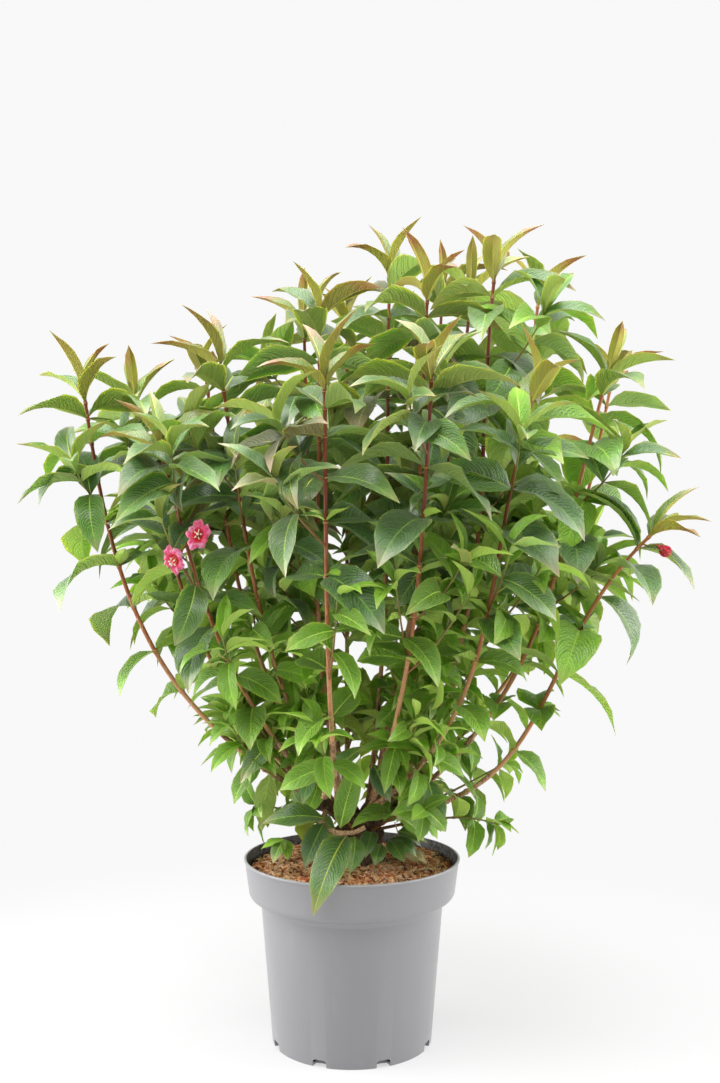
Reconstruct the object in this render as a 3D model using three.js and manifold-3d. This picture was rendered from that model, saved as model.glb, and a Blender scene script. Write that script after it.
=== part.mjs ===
/**
 * A young weigela: a many-stemmed flowering shrub in a grey nursery pot.
 *
 * Millimetres, +Z up. The origin is the centre of the pot's flat underside and the shrub
 * stands up along +Z. A short woody stool carries eight old pruned limbs, and each limb
 * carries a few canes. A cane is bare at its foot (a bough) and leafy above (a foliage mass):
 * its leaves sit in opposite pairs, each pair a quarter turn round from the one below.
 */
import * as THREE from 'three';
import { mergeVertices } from 'three/addons/utils/BufferGeometryUtils.js';
import Module from 'manifold-3d';

const wasm = await Module();
wasm.setup();

// ---- driving dimensions ----------------------------------------------------------------

const GAP = 0.3; // clear space between solids that touch in the real plant
const SHORTEST_EDGE = 0.05; // shorter edges left by a join are closed up
const CLOSEST = 0.01; // corners closer than this would run together when rounded
const ROUND = 28; // sides of the pot and of the compost in it

const POT = {
  height: 256,
  rimRadius: 151,
  bandFootRadius: 145.5, // foot of the deep collar under the rim
  bandFootZ: 201,
  collarRounding: 11,
  bodyTopRadius: 128, // the body just under the collar
  bodyTopDrop: 9, // how far under the collar's foot the body ends
  soffitRadius: 131, // the collar's underside, sloping out from the body
  soffitDrop: 5,
  footRadius: 112,
  wall: 2.2,
  draft: 0.3, // the wall's inside leans out by this much at the floor
  floor: 4,
  notches: 8, // drainage notches round the foot
  notchWide: 20,
  notchHigh: 10,
  notchDeep: 12, // cut this far in from the foot's edge
};

const COMPOST_TOP = 240;
const COMPOST_SLACK = 0.15; // extra room to the wall, over the gap
const COMPOST_EDGE = { wide: 16, drop: 4 }; // the surface falls off towards the wall

const STOOL = {
  x: 9,
  y: 4,
  flareRadius: 43,
  ankleRadius: 37, // top of the root flare
  ankleHigh: 9,
  waistRadius: 29,
  waistZ: 268,
  neckRadius: 32,
  neckZ: 290,
  headRadius: 23,
  headRimZ: 303,
  headZ: 306,
  sides: 12,
  lobes: 5, // buttresses of the root flare
  lobeDepth: 0.13,
  skew: 0.06, // how far its section is from round, as a share of the radius
};

const LIMBS = 8; // old pruned limbs on the stool
const LIMB_TURN = 22.5; // bearing of the first limb, degrees
const LIMB_ROOT_DEPTH = 12; // a limb starts this far under the head's top
const LIMB_ROOT_REACH = 8;
const LIMB_REACH = 66;
const LIMB_TOP = 336;
const LIMB_STAGGER = { reach: 8, top: 12 }; // every second limb is closer in and taller
const LIMB_LEAVE = 40; // degrees above level at its foot and at its end
const LIMB_ARRIVE = 12;
const LIMB_HANDLE = 0.4;
const LIMB_FOOT_RADIUS = 11;
const LIMB_TIP_RADIUS = 8;
const KNOB_RADIUS = 11.5; // pruning knuckle at a limb's end
const KNOB_GROWTH = 1.3; // its flat faces need more growth than a round limb for one gap

const CANE_HANDLE = 0.42; // bow of a cane: its curve's handles as a share of the chord
const CANE_FOOT_RADIUS = 4.3;
const CANE_NECK_RADIUS = 3.3; // where the bare bough passes into the leafy shoot
const CANE_TIP_RADIUS = 1.3;
const BARE_SHARE = 0.25; // share of a cane's length that is a bare bough

const INTERNODE = 80; // distance between leaf pairs on a strong cane
const INTERNODE_SPREAD = 0.24; // how much that distance varies, as a share of it
const FIRST_INTERNODE = 0.8; // the one after the crowded pairs is shorter
const PAIRS_AT_TIP = [0, 24, 64]; // the crowded pairs, measured back from the tip
const CANE_CLEAR = 16; // no leaves so near the bare bough
const CANE_INSET = 3; // the tip pair sits this far from the end
const LEAF_BELLY = 0.43; // the widest place, as a share of the leaf's length
const RIB_PLACE = 0.3; // where the midrib is thickest, as a share of the leaf's length
const LEAF_THICKNESS = 0.024; // share of the leaf's length

// A cane's leaf, from the tip down: `young` leaves fade out over one distance, full `grown`
// ones set in over another, and from a share of the way down they are `foot` leaves. The
// lift, the fold along the midrib and the bend beyond the belly are in degrees.
const YOUNG_REACH = 56;
const GROWN_REACH = 48;
const FOOT_STARTS = 0.45;
const CANE_LEAF = {
  length: { tip: 68, grown: 120, footLoss: 0.42 },
  slim: { tip: 0.38, grown: 0.11, foot: 0.04 }, // width as a share of the length
  lift: { grown: 4, young: 72, foot: 10 }, // towards the stem's own direction
  sag: { grown: 0.5, footLoss: 0.5 },
  fold: { tip: 34, grownLoss: 16 },
  bend: { tip: 14, grown: 34 },
};

// What each leaf's seeded row may change: degrees, or shares of its length.
const LEAF_JITTER = { turn: 30, lift: 16, roll: 34, size: 0.22 };
const LEAST_SAG = 0.25;
const FACE_TO_TIP = 0.55; // a blade's face looks this much to the stem's tip, the rest up

// A cane: the limb it grows on, how far along that limb, its tip, the angles above level at
// which it leaves the limb and reaches its tip, and the number of its side twigs.
const CANES = [
  { limb: 0, at: 1.0, tip: [391, 120, 938], leave: 36, arrive: 78, twigs: 1 },
  { limb: 0, at: 0.76, tip: [300, 285, 850], leave: 42, arrive: 70, twigs: 1 },
  { limb: 0, at: 0.5, tip: [288, 165, 1076], leave: 66, arrive: 82, twigs: 0 },
  { limb: 0, at: 0.26, tip: [178, 105, 1075], leave: 80, arrive: 84, twigs: 0 },
  { limb: 1, at: 1.0, tip: [130, 330, 930], leave: 42, arrive: 74, twigs: 1 },
  { limb: 1, at: 0.75, tip: [143, 218, 1106], leave: 55, arrive: 84, twigs: 0 },
  { limb: 1, at: 0.5, tip: [55, 70, 1098], leave: 80, arrive: 88, twigs: 0 },
  { limb: 2, at: 1.0, tip: [-150, 290, 900], leave: 40, arrive: 74, twigs: 1 },
  { limb: 2, at: 0.75, tip: [-10, 270, 1048], leave: 52, arrive: 82, twigs: 0 },
  { limb: 2, at: 0.5, tip: [-75, 140, 1042], leave: 66, arrive: 86, twigs: 0 },
  { limb: 3, at: 1.0, tip: [-290, 224, 812], leave: 36, arrive: 70, twigs: 1 },
  { limb: 3, at: 0.78, tip: [-320, 60, 910], leave: 42, arrive: 76, twigs: 0 },
  { limb: 3, at: 0.55, tip: [-227, 150, 962], leave: 52, arrive: 80, twigs: 0 },
  { limb: 4, at: 1.0, tip: [-366, -60, 902], leave: 29, arrive: 82, twigs: 0 },
  { limb: 4, at: 0.78, tip: [-247, -150, 820], leave: 46, arrive: 74, twigs: 1 },
  { limb: 4, at: 0.55, tip: [-175, -110, 934], leave: 60, arrive: 80, twigs: 1 },
  { limb: 5, at: 1.0, tip: [-32, -245, 896], leave: 44, arrive: 84, twigs: 0 },
  { limb: 5, at: 0.6, tip: [-46, -50, 1014], leave: 76, arrive: 88, twigs: 0 },
  { limb: 6, at: 1.0, tip: [231, -185, 886], leave: 36, arrive: 72, twigs: 1 },
  { limb: 6, at: 0.78, tip: [99, -245, 908], leave: 50, arrive: 82, twigs: 0 },
  { limb: 6, at: 0.55, tip: [104, -60, 1040], leave: 72, arrive: 86, twigs: 0 },
  { limb: 7, at: 1.0, tip: [413, -70, 715], leave: 8, arrive: 42, twigs: 0 },
  { limb: 7, at: 0.78, tip: [358, -26, 936], leave: 38, arrive: 74, twigs: 1 },
  { limb: 7, at: 0.55, tip: [201, -10, 1078], leave: 58, arrive: 84, twigs: 0 },
];

// Low leafy shoots straight from the stool: its bearing and height there, its tip, and the
// angles above level at which it leaves and ends.
const SHOOTS = [
  { bearing: 348, foot: 290, tip: [205, -22, 305], leave: 12, arrive: -18 },
  { bearing: 20, foot: 296, tip: [228, 64, 378], leave: 14, arrive: 26 },
  { bearing: 66, foot: 288, tip: [92, 148, 345], leave: 20, arrive: 12 },
  { bearing: 128, foot: 290, tip: [-104, 128, 348], leave: 18, arrive: 10 },
  { bearing: 196, foot: 288, tip: [-132, -40, 336], leave: 16, arrive: 6 },
  { bearing: 262, foot: 286, tip: [-22, -134, 332], leave: 26, arrive: -14 },
  { bearing: 310, foot: 288, tip: [98, -112, 344], leave: 24, arrive: 4 },
];
const SHOOT_ROOT_REACH = 12;
const SHOOT_HANDLE = 0.35;
const SHOOT_FOOT_RADIUS = 2.8;
const SHOOT_TIP_RADIUS = 1.1;
const SHOOT_INTERNODE = 38;
const SHOOT_PAIRS_AT_TIP = [0, 12, 34];
const SHOOT_CLEAR = 44;
const SHOOT_INSET = 2;
const SHOOT_GROWN_REACH = 50; // its leaves have their full size this far from its tip
const SHOOT_LEAF = {
  length: { tip: 0.66, grown: 74 },
  slim: 0.46,
  lift: { tip: 30, grownLoss: 22 },
  sag: 0.3,
  fold: 20,
  bend: 24,
};

const CANE_STEPS = 5; // straight stretches in a leafy stem
const TWIG_STEPS = 2;
const STEM_SIDES = 3;
const BOUGH_SIDES = 5;
const BOUGH_STEPS = 2;

// A side twig: the stretch of the cane that it may grow on, its swing to either side of the
// cane's own bearing, how far out and up it goes at least and by how much more, and the
// angles above level at which it leaves and ends.
const TWIG = {
  from: 0.5,
  stretch: 0.22,
  swing: 60,
  out: 62,
  outMore: 30,
  up: 66,
  upMore: 34,
  leave: 38,
  arrive: 62,
  handle: 0.35,
  footRadius: 1.8,
  pairsAtTip: [0, 20, 58],
  clear: 30,
  leafAge: 8, // its leaves are like a cane's this much further back from the tip
  leafDepth: 0.4, // and this share of the way down
  leafLength: 0.86,
};

// Blossom: a cane, the way along it where the flowering twig starts, and the flowers' places.
// The spent flower on the arching cane has closed up and is a slimmer funnel.
const BLOSSOM = [
  { cane: 14, at: 0.66, mouth: [-201, -182, 711], wide: 17, deep: 27 },
  { cane: 14, at: 0.62, mouth: [-229, -188, 681], wide: 17, deep: 27 },
  { cane: 21, at: 0.955, mouth: [421, -88, 694], wide: 8, deep: 24 },
];
const PETALS = 5;
const FUNNEL_THROAT = 1.6; // radius of a flower's narrow end
const STALK = { footRadius: 1.5, tipRadius: 1.2, handle: 0.3, intoFunnel: 0.2 };

// ---- tools -----------------------------------------------------------------------------

const UP = new THREE.Vector3(0, 0, 1);
const vector = (x, y, z) => new THREE.Vector3(x, y, z);
const radians = THREE.MathUtils.degToRad;
const level = (degrees) => vector(Math.cos(radians(degrees)), Math.sin(radians(degrees)), 0);

/** A seeded row of numbers from 0 to 1, the same on every machine. */
function seededRow(seed) {
  let state = (seed * 7919 + 12345) % 4294967296;
  const next = () => {
    state = (state * 1664525 + 1013904223) % 4294967296;
    return state / 4294967296;
  };
  next();
  return next;
}

/** Turns a closed geometry into a solid that can be joined and cut. */
function solidFrom(geometry) {
  const bare = geometry.clone();
  bare.deleteAttribute('normal');
  bare.deleteAttribute('uv');
  const merged = mergeVertices(bare, 1e-4);
  return new wasm.Manifold(new wasm.Mesh({
    numProp: 3,
    vertProperties: merged.attributes.position.array,
    triVerts: new Uint32Array(merged.index.array),
  }));
}

/** The largest of a solid's separate bodies, so that no loose scrap is kept. */
function mainBody(solid) {
  const bodies = solid.simplify(SHORTEST_EDGE).decompose();
  return bodies.reduce((best, body) => (body.volume() > best.volume() ? body : best));
}

/** A named mesh of a solid, in its own material. */
function meshFrom(name, solid, finish) {
  const { numProp, vertProperties, triVerts } = solid.getMesh();
  const geometry = new THREE.BufferGeometry();
  const points = new THREE.InterleavedBuffer(vertProperties, numProp);
  geometry.setAttribute('position', new THREE.InterleavedBufferAttribute(points, 3, 0));
  geometry.setIndex(new THREE.BufferAttribute(triVerts, 1));
  geometry.computeVertexNormals();
  const material = new THREE.MeshStandardMaterial({ metalness: 0, ...finish });
  const mesh = new THREE.Mesh(geometry, material);
  mesh.name = name;
  return mesh;
}

/** A solid of revolution about Z from a profile of [radius, z] pairs. */
function turned(profile, sides) {
  const geometry = new THREE.LatheGeometry(profile.map(([r, z]) => new THREE.Vector2(r, z)), sides);
  geometry.rotateX(Math.PI / 2);
  return geometry;
}

/** A planar bowed path between two points that leaves and arrives at set angles. */
function bowedPath(start, end, leave, arrive, handle) {
  const run = vector(end.x - start.x, end.y - start.y, 0).normalize();
  const heading = (degrees) => run.clone().multiplyScalar(Math.cos(radians(degrees)))
    .addScaledVector(UP, Math.sin(radians(degrees)));
  const reach = start.distanceTo(end) * handle;
  const curve = new THREE.CubicBezierCurve3(
    start,
    start.clone().addScaledVector(heading(leave), reach),
    end.clone().addScaledVector(heading(arrive), -reach),
    end,
  );
  return { curve, across: vector(-run.y, run.x, 0), length: curve.getLength() };
}

/** A tapering limb round the stretch of a path between two shares of its length. */
function taperedLimb(path, from, to, radiusFrom, radiusTo, sides, steps) {
  const geometry = new THREE.CylinderGeometry(1, 1, 1, sides, steps);
  const corners = geometry.attributes.position;
  for (let i = 0; i < corners.count; i += 1) {
    const share = corners.getY(i) + 0.5;
    const along = from + (to - from) * share;
    const radius = radiusFrom + (radiusTo - radiusFrom) * share;
    const tangent = path.curve.getTangentAt(along);
    const corner = path.curve.getPointAt(along)
      .addScaledVector(path.across, corners.getX(i) * radius)
      .addScaledVector(path.across.clone().cross(tangent), corners.getZ(i) * radius);
    corners.setXYZ(i, corner.x, corner.y, corner.z);
  }
  return solidFrom(geometry);
}

/** The straight-sided centre line of a stem that is built in a few steps. */
function centreLine(path, from, steps) {
  const joints = [];
  for (let n = 0; n <= steps; n += 1) {
    joints.push(path.curve.getPointAt(from + ((1 - from) * n) / steps));
  }
  return (along) => {
    const place = ((along - from) / (1 - from)) * steps;
    const n = Math.min(steps - 1, Math.floor(place));
    return joints[n].clone().lerp(joints[n + 1], place - n);
  };
}

// ---- pot and compost -------------------------------------------------------------------

/** The pot's outline from foot to rim, moved inwards by a wall thickness. */
function potOutline(inset) {
  const p = POT;
  const corner = p.collarRounding;
  const points = [
    [p.footRadius - inset, 0],
    [p.bodyTopRadius - inset, p.bandFootZ - p.bodyTopDrop],
    [p.soffitRadius - inset, p.bandFootZ - p.soffitDrop],
  ];
  const steps = 2;
  for (let step = 0; step <= steps; step += 1) {
    const turn = (Math.PI / 2) * (step / steps);
    points.push([
      p.bandFootRadius - corner * (1 - Math.sin(turn)) - inset,
      p.bandFootZ + corner * (1 - Math.cos(turn)),
    ]);
  }
  points.push([p.rimRadius - inset, p.height]);
  return points;
}

function makePot() {
  const inside = potOutline(POT.wall).slice(1).reverse();
  const profile = [
    [0, 0],
    ...potOutline(0),
    ...inside,
    [POT.footRadius - POT.wall + POT.draft, POT.floor],
    [0, POT.floor],
  ];
  const notches = [];
  for (let n = 0; n < POT.notches; n += 1) {
    const box = new THREE.BoxGeometry(2 * POT.notchDeep, POT.notchWide, 2 * POT.notchHigh);
    box.translate(POT.footRadius, 0, 0);
    box.rotateZ(((n + 0.5) * 2 * Math.PI) / POT.notches);
    notches.push(solidFrom(box));
  }
  return solidFrom(turned(profile, ROUND)).subtract(wasm.Manifold.union(notches));
}

function makeCompost() {
  const inset = POT.wall + GAP + COMPOST_SLACK;
  const footZ = POT.notchHigh + 1;
  const edgeZ = COMPOST_TOP - COMPOST_EDGE.drop;
  const wallLine = potOutline(inset).slice(1, -1).map(([radius, z]) => [radius, z + GAP]);
  const collarZ = POT.bandFootZ + POT.collarRounding;
  const edgeRadius = THREE.MathUtils.mapLinear(
    edgeZ, collarZ, POT.height, POT.bandFootRadius - inset, POT.rimRadius - inset,
  );
  const profile = [
    [0, footZ],
    [POT.footRadius - inset, footZ],
    ...wallLine,
    [edgeRadius, edgeZ],
    [edgeRadius - COMPOST_EDGE.wide, COMPOST_TOP],
    [0, COMPOST_TOP],
  ];
  return solidFrom(turned(profile, ROUND));
}

// ---- the woody stool -------------------------------------------------------------------

/** The path of one old limb, from inside the stool's head out to its pruning knuckle. */
function limbPath(index) {
  const out = level(LIMB_TURN + (360 / LIMBS) * index);
  const tall = index % 2 === 0 ? 1 : 0;
  const foot = vector(STOOL.x, STOOL.y, STOOL.headZ - LIMB_ROOT_DEPTH)
    .addScaledVector(out, LIMB_ROOT_REACH);
  const end = vector(STOOL.x, STOOL.y, LIMB_TOP - LIMB_STAGGER.top * (1 - tall))
    .addScaledVector(out, LIMB_REACH - LIMB_STAGGER.reach * tall);
  return bowedPath(foot, end, LIMB_LEAVE, LIMB_ARRIVE, LIMB_HANDLE);
}

/** The stool with its limbs, thicker all over by `grow`. */
function makeStool(grow) {
  const s = STOOL;
  const foot = COMPOST_TOP + GAP;
  const base = turned([
    [0, foot - grow],
    [s.flareRadius + grow, foot - grow],
    [s.ankleRadius + grow, foot + s.ankleHigh],
    [s.waistRadius + grow, s.waistZ],
    [s.neckRadius + grow, s.neckZ],
    [s.headRadius + grow, s.headRimZ],
    [0, s.headZ + grow],
  ], s.sides);
  const corners = base.attributes.position;
  for (let i = 0; i < corners.count; i += 1) {
    const bearing = Math.atan2(corners.getY(i), corners.getX(i));
    const lobe = 1 + s.lobeDepth * Math.cos(s.lobes * bearing)
      + s.skew * Math.cos(2 * bearing + 1);
    corners.setX(i, corners.getX(i) * lobe + s.x);
    corners.setY(i, corners.getY(i) * lobe + s.y);
  }
  const pieces = [solidFrom(base)];
  for (let n = 0; n < LIMBS; n += 1) {
    const path = limbPath(n);
    pieces.push(taperedLimb(path, 0, 1, LIMB_FOOT_RADIUS + grow, LIMB_TIP_RADIUS + grow, 6, 3));
    const knob = new THREE.IcosahedronGeometry(KNOB_RADIUS + KNOB_GROWTH * grow);
    knob.translate(...path.curve.getPointAt(1).toArray());
    pieces.push(solidFrom(knob));
  }
  return wasm.Manifold.union(pieces);
}

// ---- leaves ----------------------------------------------------------------------------

/**
 * A leaf as an eight-faced solid: an octahedron whose six corners are moved to the root, the
 * tip, the two edges at the belly, and the top and underside of the midrib. The blade is
 * folded up along its midrib and bends down beyond the belly.
 */
function leafSolid(leaf) {
  const { root, heading, face, length, width, fold, bend } = leaf;
  const side = face.clone().cross(heading);
  const rib = root.clone().addScaledVector(heading, length * RIB_PLACE);
  const belly = root.clone().addScaledVector(heading, length * LEAF_BELLY);
  const beyond = length * (1 - LEAF_BELLY);
  const tip = belly.clone()
    .addScaledVector(heading, beyond * Math.cos(bend))
    .addScaledVector(face, -beyond * Math.sin(bend));
  const edge = belly.addScaledVector(face, (width / 2) * Math.sin(fold));
  const spread = (width / 2) * Math.cos(fold);
  const geometry = new THREE.OctahedronGeometry(1);
  const corners = geometry.attributes.position;
  for (let i = 0; i < corners.count; i += 1) {
    const along = Math.round(corners.getX(i));
    const sideways = Math.round(corners.getY(i));
    const through = Math.round(corners.getZ(i));
    let corner = along > 0 ? tip : root;
    if (sideways !== 0) {
      corner = edge.clone().addScaledVector(side, sideways * spread);
    } else if (through !== 0) {
      corner = rib.clone().addScaledVector(face, through * length * LEAF_THICKNESS * 0.5);
    }
    corners.setXYZ(i, corner.x, corner.y, corner.z);
  }
  return solidFrom(geometry);
}

// How a leaf is turned, lifted, shortened and slid down its stem, try after try, until it
// finds clear space.
const TRIES = [
  [0, 0, 1, 0], [6, 2, 1, 1.5], [18, 0, 1, 0], [-18, 0, 1, 0], [0, 14, 0.95, 2],
  [0, -16, 0.95, 0], [-9, -5, 0.95, 4], [32, 8, 0.9, 1], [-32, 8, 0.9, 1],
  [24, -18, 0.85, 3], [-24, -18, 0.85, 3], [0, 26, 0.75, 0], [12, 34, 0.7, 5],
];

/**
 * The leaf on `path` at the share `along`, pointing away at `turn` degrees round the stem.
 * The row of numbers is read the same way for every leaf, whether or not it is kept.
 */
function leafAt(path, pointAt, along, turn, size, row) {
  const jitter = {
    turn: row() - 0.5,
    lift: row() - 0.5,
    size: row() - 0.5,
    sag: row(),
    roll: row() - 0.5,
  };
  const tangent = path.curve.getTangentAt(along);
  const b = path.across;
  const c = b.clone().cross(tangent);
  return (extraTurn, extraLift, shrink, slide) => {
    const angle = radians(turn + LEAF_JITTER.turn * jitter.turn + extraTurn);
    const lift = radians(size.lift + LEAF_JITTER.lift * jitter.lift + extraLift);
    const out = b.clone().multiplyScalar(Math.cos(angle)).addScaledVector(c, Math.sin(angle));
    const heading = out.multiplyScalar(Math.cos(lift)).addScaledVector(tangent, Math.sin(lift));
    heading.addScaledVector(UP, -size.sag * (LEAST_SAG + jitter.sag)).normalize();
    const face = tangent.clone().multiplyScalar(FACE_TO_TIP).addScaledVector(UP, 1 - FACE_TO_TIP);
    face.addScaledVector(heading, -face.dot(heading)).normalize();
    face.applyAxisAngle(heading, radians(LEAF_JITTER.roll) * jitter.roll);
    const length = size.length * (1 + LEAF_JITTER.size * jitter.size) * shrink;
    return {
      root: pointAt(along - slide / path.length),
      heading,
      face,
      length,
      width: length * size.slim,
      fold: radians(size.fold),
      bend: radians(size.bend),
    };
  };
}

/** Size and pose of the leaves at a distance back from a cane's tip, `low` of the way down. */
function caneLeafSize(back, low) {
  const { length, slim, lift, sag, fold, bend } = CANE_LEAF;
  const young = Math.exp(-back / YOUNG_REACH);
  const grown = 1 - Math.exp(-back / GROWN_REACH);
  const foot = THREE.MathUtils.smoothstep(low, FOOT_STARTS, 1);
  return {
    length: (length.tip + (length.grown - length.tip) * grown) * (1 - length.footLoss * foot),
    slim: slim.tip + slim.grown * grown + slim.foot * foot,
    lift: lift.grown + lift.young * young + lift.foot * foot,
    sag: sag.grown * (1 - young) * (1 - sag.footLoss * foot),
    fold: fold.tip - fold.grownLoss * grown,
    bend: bend.tip + bend.grown * grown,
  };
}

/** Size and pose of the leaves at a distance back from a low shoot's tip. */
function shootLeafSize(back) {
  const { length, slim, lift, sag, fold, bend } = SHOOT_LEAF;
  const grown = Math.min(1, back / SHOOT_GROWN_REACH);
  return {
    length: length.grown * (length.tip + (1 - length.tip) * grown),
    slim,
    lift: lift.tip - lift.grownLoss * grown,
    sag,
    fold,
    bend,
  };
}

/** The distances back from the tip at which a cane bears a pair of leaves. */
function pairPlaces(reach, internode, crowded, row) {
  const places = crowded.filter((back) => back < reach);
  let back = crowded[crowded.length - 1] + internode * FIRST_INTERNODE;
  while (back < reach) {
    places.push(back);
    back += internode * (1 + INTERNODE_SPREAD * (row() - 0.5));
  }
  return places;
}

// ---- the plan of every stem and leaf ---------------------------------------------------

/** The leaves along a stretch of a path that ends at its tip, tip pair first. */
function planLeaves(path, from, steps, row, style) {
  const pointAt = centreLine(path, from, steps);
  const reach = path.length * (1 - from) - style.clear;
  const leaves = [];
  pairPlaces(reach, style.internode, style.crowded, row).forEach((back, pair) => {
    const along = 1 - Math.max(back, style.inset) / path.length;
    const size = style.size(back, back / reach);
    for (let side = 0; side < 2; side += 1) {
      const turn = style.turn + 90 * pair + 180 * side;
      leaves.push(leafAt(path, pointAt, along, turn, size, row));
    }
  });
  return leaves;
}

/** A side twig from a cane, out on the side that faces away from the stool. */
function planTwig(path, along, row) {
  const tangent = path.curve.getTangentAt(along);
  const start = path.curve.getPointAt(along);
  const swing = radians(TWIG.swing * (2 * row() - 1));
  const run = tangent.clone().setZ(0).normalize();
  const out = run.multiplyScalar(Math.cos(swing)).addScaledVector(path.across, Math.sin(swing));
  const end = start.clone()
    .addScaledVector(out, TWIG.out + TWIG.outMore * row())
    .addScaledVector(UP, TWIG.up + TWIG.upMore * row());
  return bowedPath(start, end, TWIG.leave, TWIG.arrive, TWIG.handle);
}

/** The leafy part of a stem, three-sided all the way. */
function leafyStem(path, from, footRadius, tipRadius, steps) {
  return taperedLimb(path, from, 1, footRadius, tipRadius, STEM_SIDES, steps);
}

function planCane(spec, index) {
  const row = seededRow(index + 1);
  const foot = limbPath(spec.limb).curve.getPointAt(spec.at);
  const path = bowedPath(foot, vector(...spec.tip), spec.leave, spec.arrive, CANE_HANDLE);
  const start = BARE_SHARE + GAP / path.length;
  const stems = [leafyStem(path, start, CANE_NECK_RADIUS, CANE_TIP_RADIUS, CANE_STEPS)];
  const style = {
    internode: INTERNODE,
    crowded: PAIRS_AT_TIP,
    turn: 360 * row(),
    clear: CANE_CLEAR,
    inset: CANE_INSET,
    size: caneLeafSize,
  };
  const leaves = planLeaves(path, start, CANE_STEPS, row, style);
  for (let n = 0; n < spec.twigs; n += 1) {
    const twig = planTwig(path, TWIG.from + TWIG.stretch * row(), row);
    stems.push(leafyStem(twig, 0, TWIG.footRadius, CANE_TIP_RADIUS, TWIG_STEPS));
    const twigStyle = {
      ...style,
      turn: 360 * row(),
      crowded: TWIG.pairsAtTip,
      clear: TWIG.clear,
      size: (back, low) => {
        const size = caneLeafSize(back + TWIG.leafAge, low * TWIG.leafDepth);
        return { ...size, length: size.length * TWIG.leafLength };
      },
    };
    leaves.push(...planLeaves(twig, 0, TWIG_STEPS, row, twigStyle));
  }
  const bough = taperedLimb(
    path, 0, BARE_SHARE, CANE_FOOT_RADIUS, CANE_NECK_RADIUS, BOUGH_SIDES, BOUGH_STEPS,
  );
  return { path, bough, stems, leaves };
}

function planShoot(spec, index) {
  const row = seededRow(101 + index);
  const foot = vector(STOOL.x, STOOL.y, spec.foot)
    .addScaledVector(level(spec.bearing), SHOOT_ROOT_REACH);
  const path = bowedPath(foot, vector(...spec.tip), spec.leave, spec.arrive, SHOOT_HANDLE);
  const style = {
    internode: SHOOT_INTERNODE,
    crowded: SHOOT_PAIRS_AT_TIP,
    turn: 90 * row(),
    clear: SHOOT_CLEAR,
    inset: SHOOT_INSET,
    size: shootLeafSize,
  };
  const stems = [leafyStem(path, 0, SHOOT_FOOT_RADIUS, SHOOT_TIP_RADIUS, TWIG_STEPS)];
  return { path, stems, leaves: planLeaves(path, 0, TWIG_STEPS, row, style) };
}

/** A flower on its twig: a five-sided funnel whose mouth faces outwards and down a little. */
function flowerOn(cane, spec) {
  const start = cane.path.curve.getPointAt(spec.at);
  const mouth = vector(...spec.mouth);
  const away = mouth.clone().sub(start).normalize();
  const funnel = new THREE.CylinderGeometry(spec.wide, FUNNEL_THROAT, spec.deep, PETALS);
  funnel.translate(0, -spec.deep / 2, 0);
  funnel.applyQuaternion(new THREE.Quaternion().setFromUnitVectors(vector(0, 1, 0), away));
  funnel.translate(...mouth.toArray());
  const tail = mouth.clone().addScaledVector(away, (STALK.intoFunnel - 1) * spec.deep);
  const angle = THREE.MathUtils.radToDeg(Math.asin(away.z));
  const stalk = bowedPath(start, tail, angle, angle, STALK.handle);
  return [leafyStem(stalk, 0, STALK.footRadius, STALK.tipRadius, 1), solidFrom(funnel)];
}

// ---- growing it in clear space ---------------------------------------------------------

/** A solid with its box, for quick tests of what comes near what. */
function fenced(solid, owner, pair = null) {
  return { solid, owner, pair, box: solid.boundingBox() };
}

function boxesMeet(a, b, margin) {
  return [0, 1, 2].every((k) => a.min[k] - margin < b.max[k] && b.min[k] - margin < a.max[k]);
}

/** True where a leaf grows from the other solid, or from the same place on the stem. */
function joins(leaf, other) {
  return leaf.owner === other.owner && (other.pair === null || leaf.pair === other.pair);
}

/** True where a leaf keeps the gap to every fenced solid that it isn't joined to. */
function keepsClear(leaf, others) {
  return others.every((other) => joins(leaf, other)
    || !boxesMeet(leaf.box, other.box, GAP)
    || leaf.solid.minGap(other.solid, 2 * GAP) > 1.2 * GAP);
}

/** True where no two corners of a solid lie so close that rounding would run them together. */
function hasClearCorners(solid) {
  const { numProp, vertProperties } = solid.getMesh();
  const corners = [];
  for (let i = 0; i < vertProperties.length; i += numProp) {
    corners.push(vector(...vertProperties.subarray(i, i + 3)));
  }
  corners.sort((a, b) => a.z - b.z);
  return corners.every((corner, i) => {
    for (let j = i + 1; j < corners.length && corners[j].z - corner.z < CLOSEST; j += 1) {
      if (corner.distanceTo(corners[j]) < CLOSEST) {
        return false;
      }
    }
    return true;
  });
}

/** Joins to a mass each planned leaf that finds clear space, and fences it in `others`. */
function growLeaves(mass, others) {
  let body = mass.frame;
  mass.leaves.forEach((poseOf, index) => {
    for (const attempt of TRIES) {
      const leaf = fenced(leafSolid(poseOf(...attempt)), mass.name, Math.floor(index / 2));
      if (keepsClear(leaf, others)) {
        const grown = body.add(leaf.solid).simplify(SHORTEST_EDGE);
        if (grown.decompose().length === 1 && hasClearCorners(grown)) {
          body = grown;
          others.push(leaf);
          break;
        }
      }
    }
  });
  return body;
}

// ---- assembly --------------------------------------------------------------------------

const pot = makePot();
const compost = makeCompost();
const stool = makeStool(0);
const stoolWithGap = makeStool(GAP + 0.05);

const canes = CANES.map(planCane);
const shoots = SHOOTS.map(planShoot);
BLOSSOM.forEach((spec) => canes[spec.cane].stems.push(...flowerOn(canes[spec.cane], spec)));

const number = (index) => String(index + 1).padStart(2, '0');
const boughs = canes.map((cane) => mainBody(cane.bough.subtract(stoolWithGap)));
const masses = [
  ...canes.map((cane, index) => ({ ...cane, name: `foliage_${number(index)}` })),
  ...shoots.map((shoot, index) => ({ ...shoot, name: `low_foliage_${number(index)}` })),
];

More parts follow.
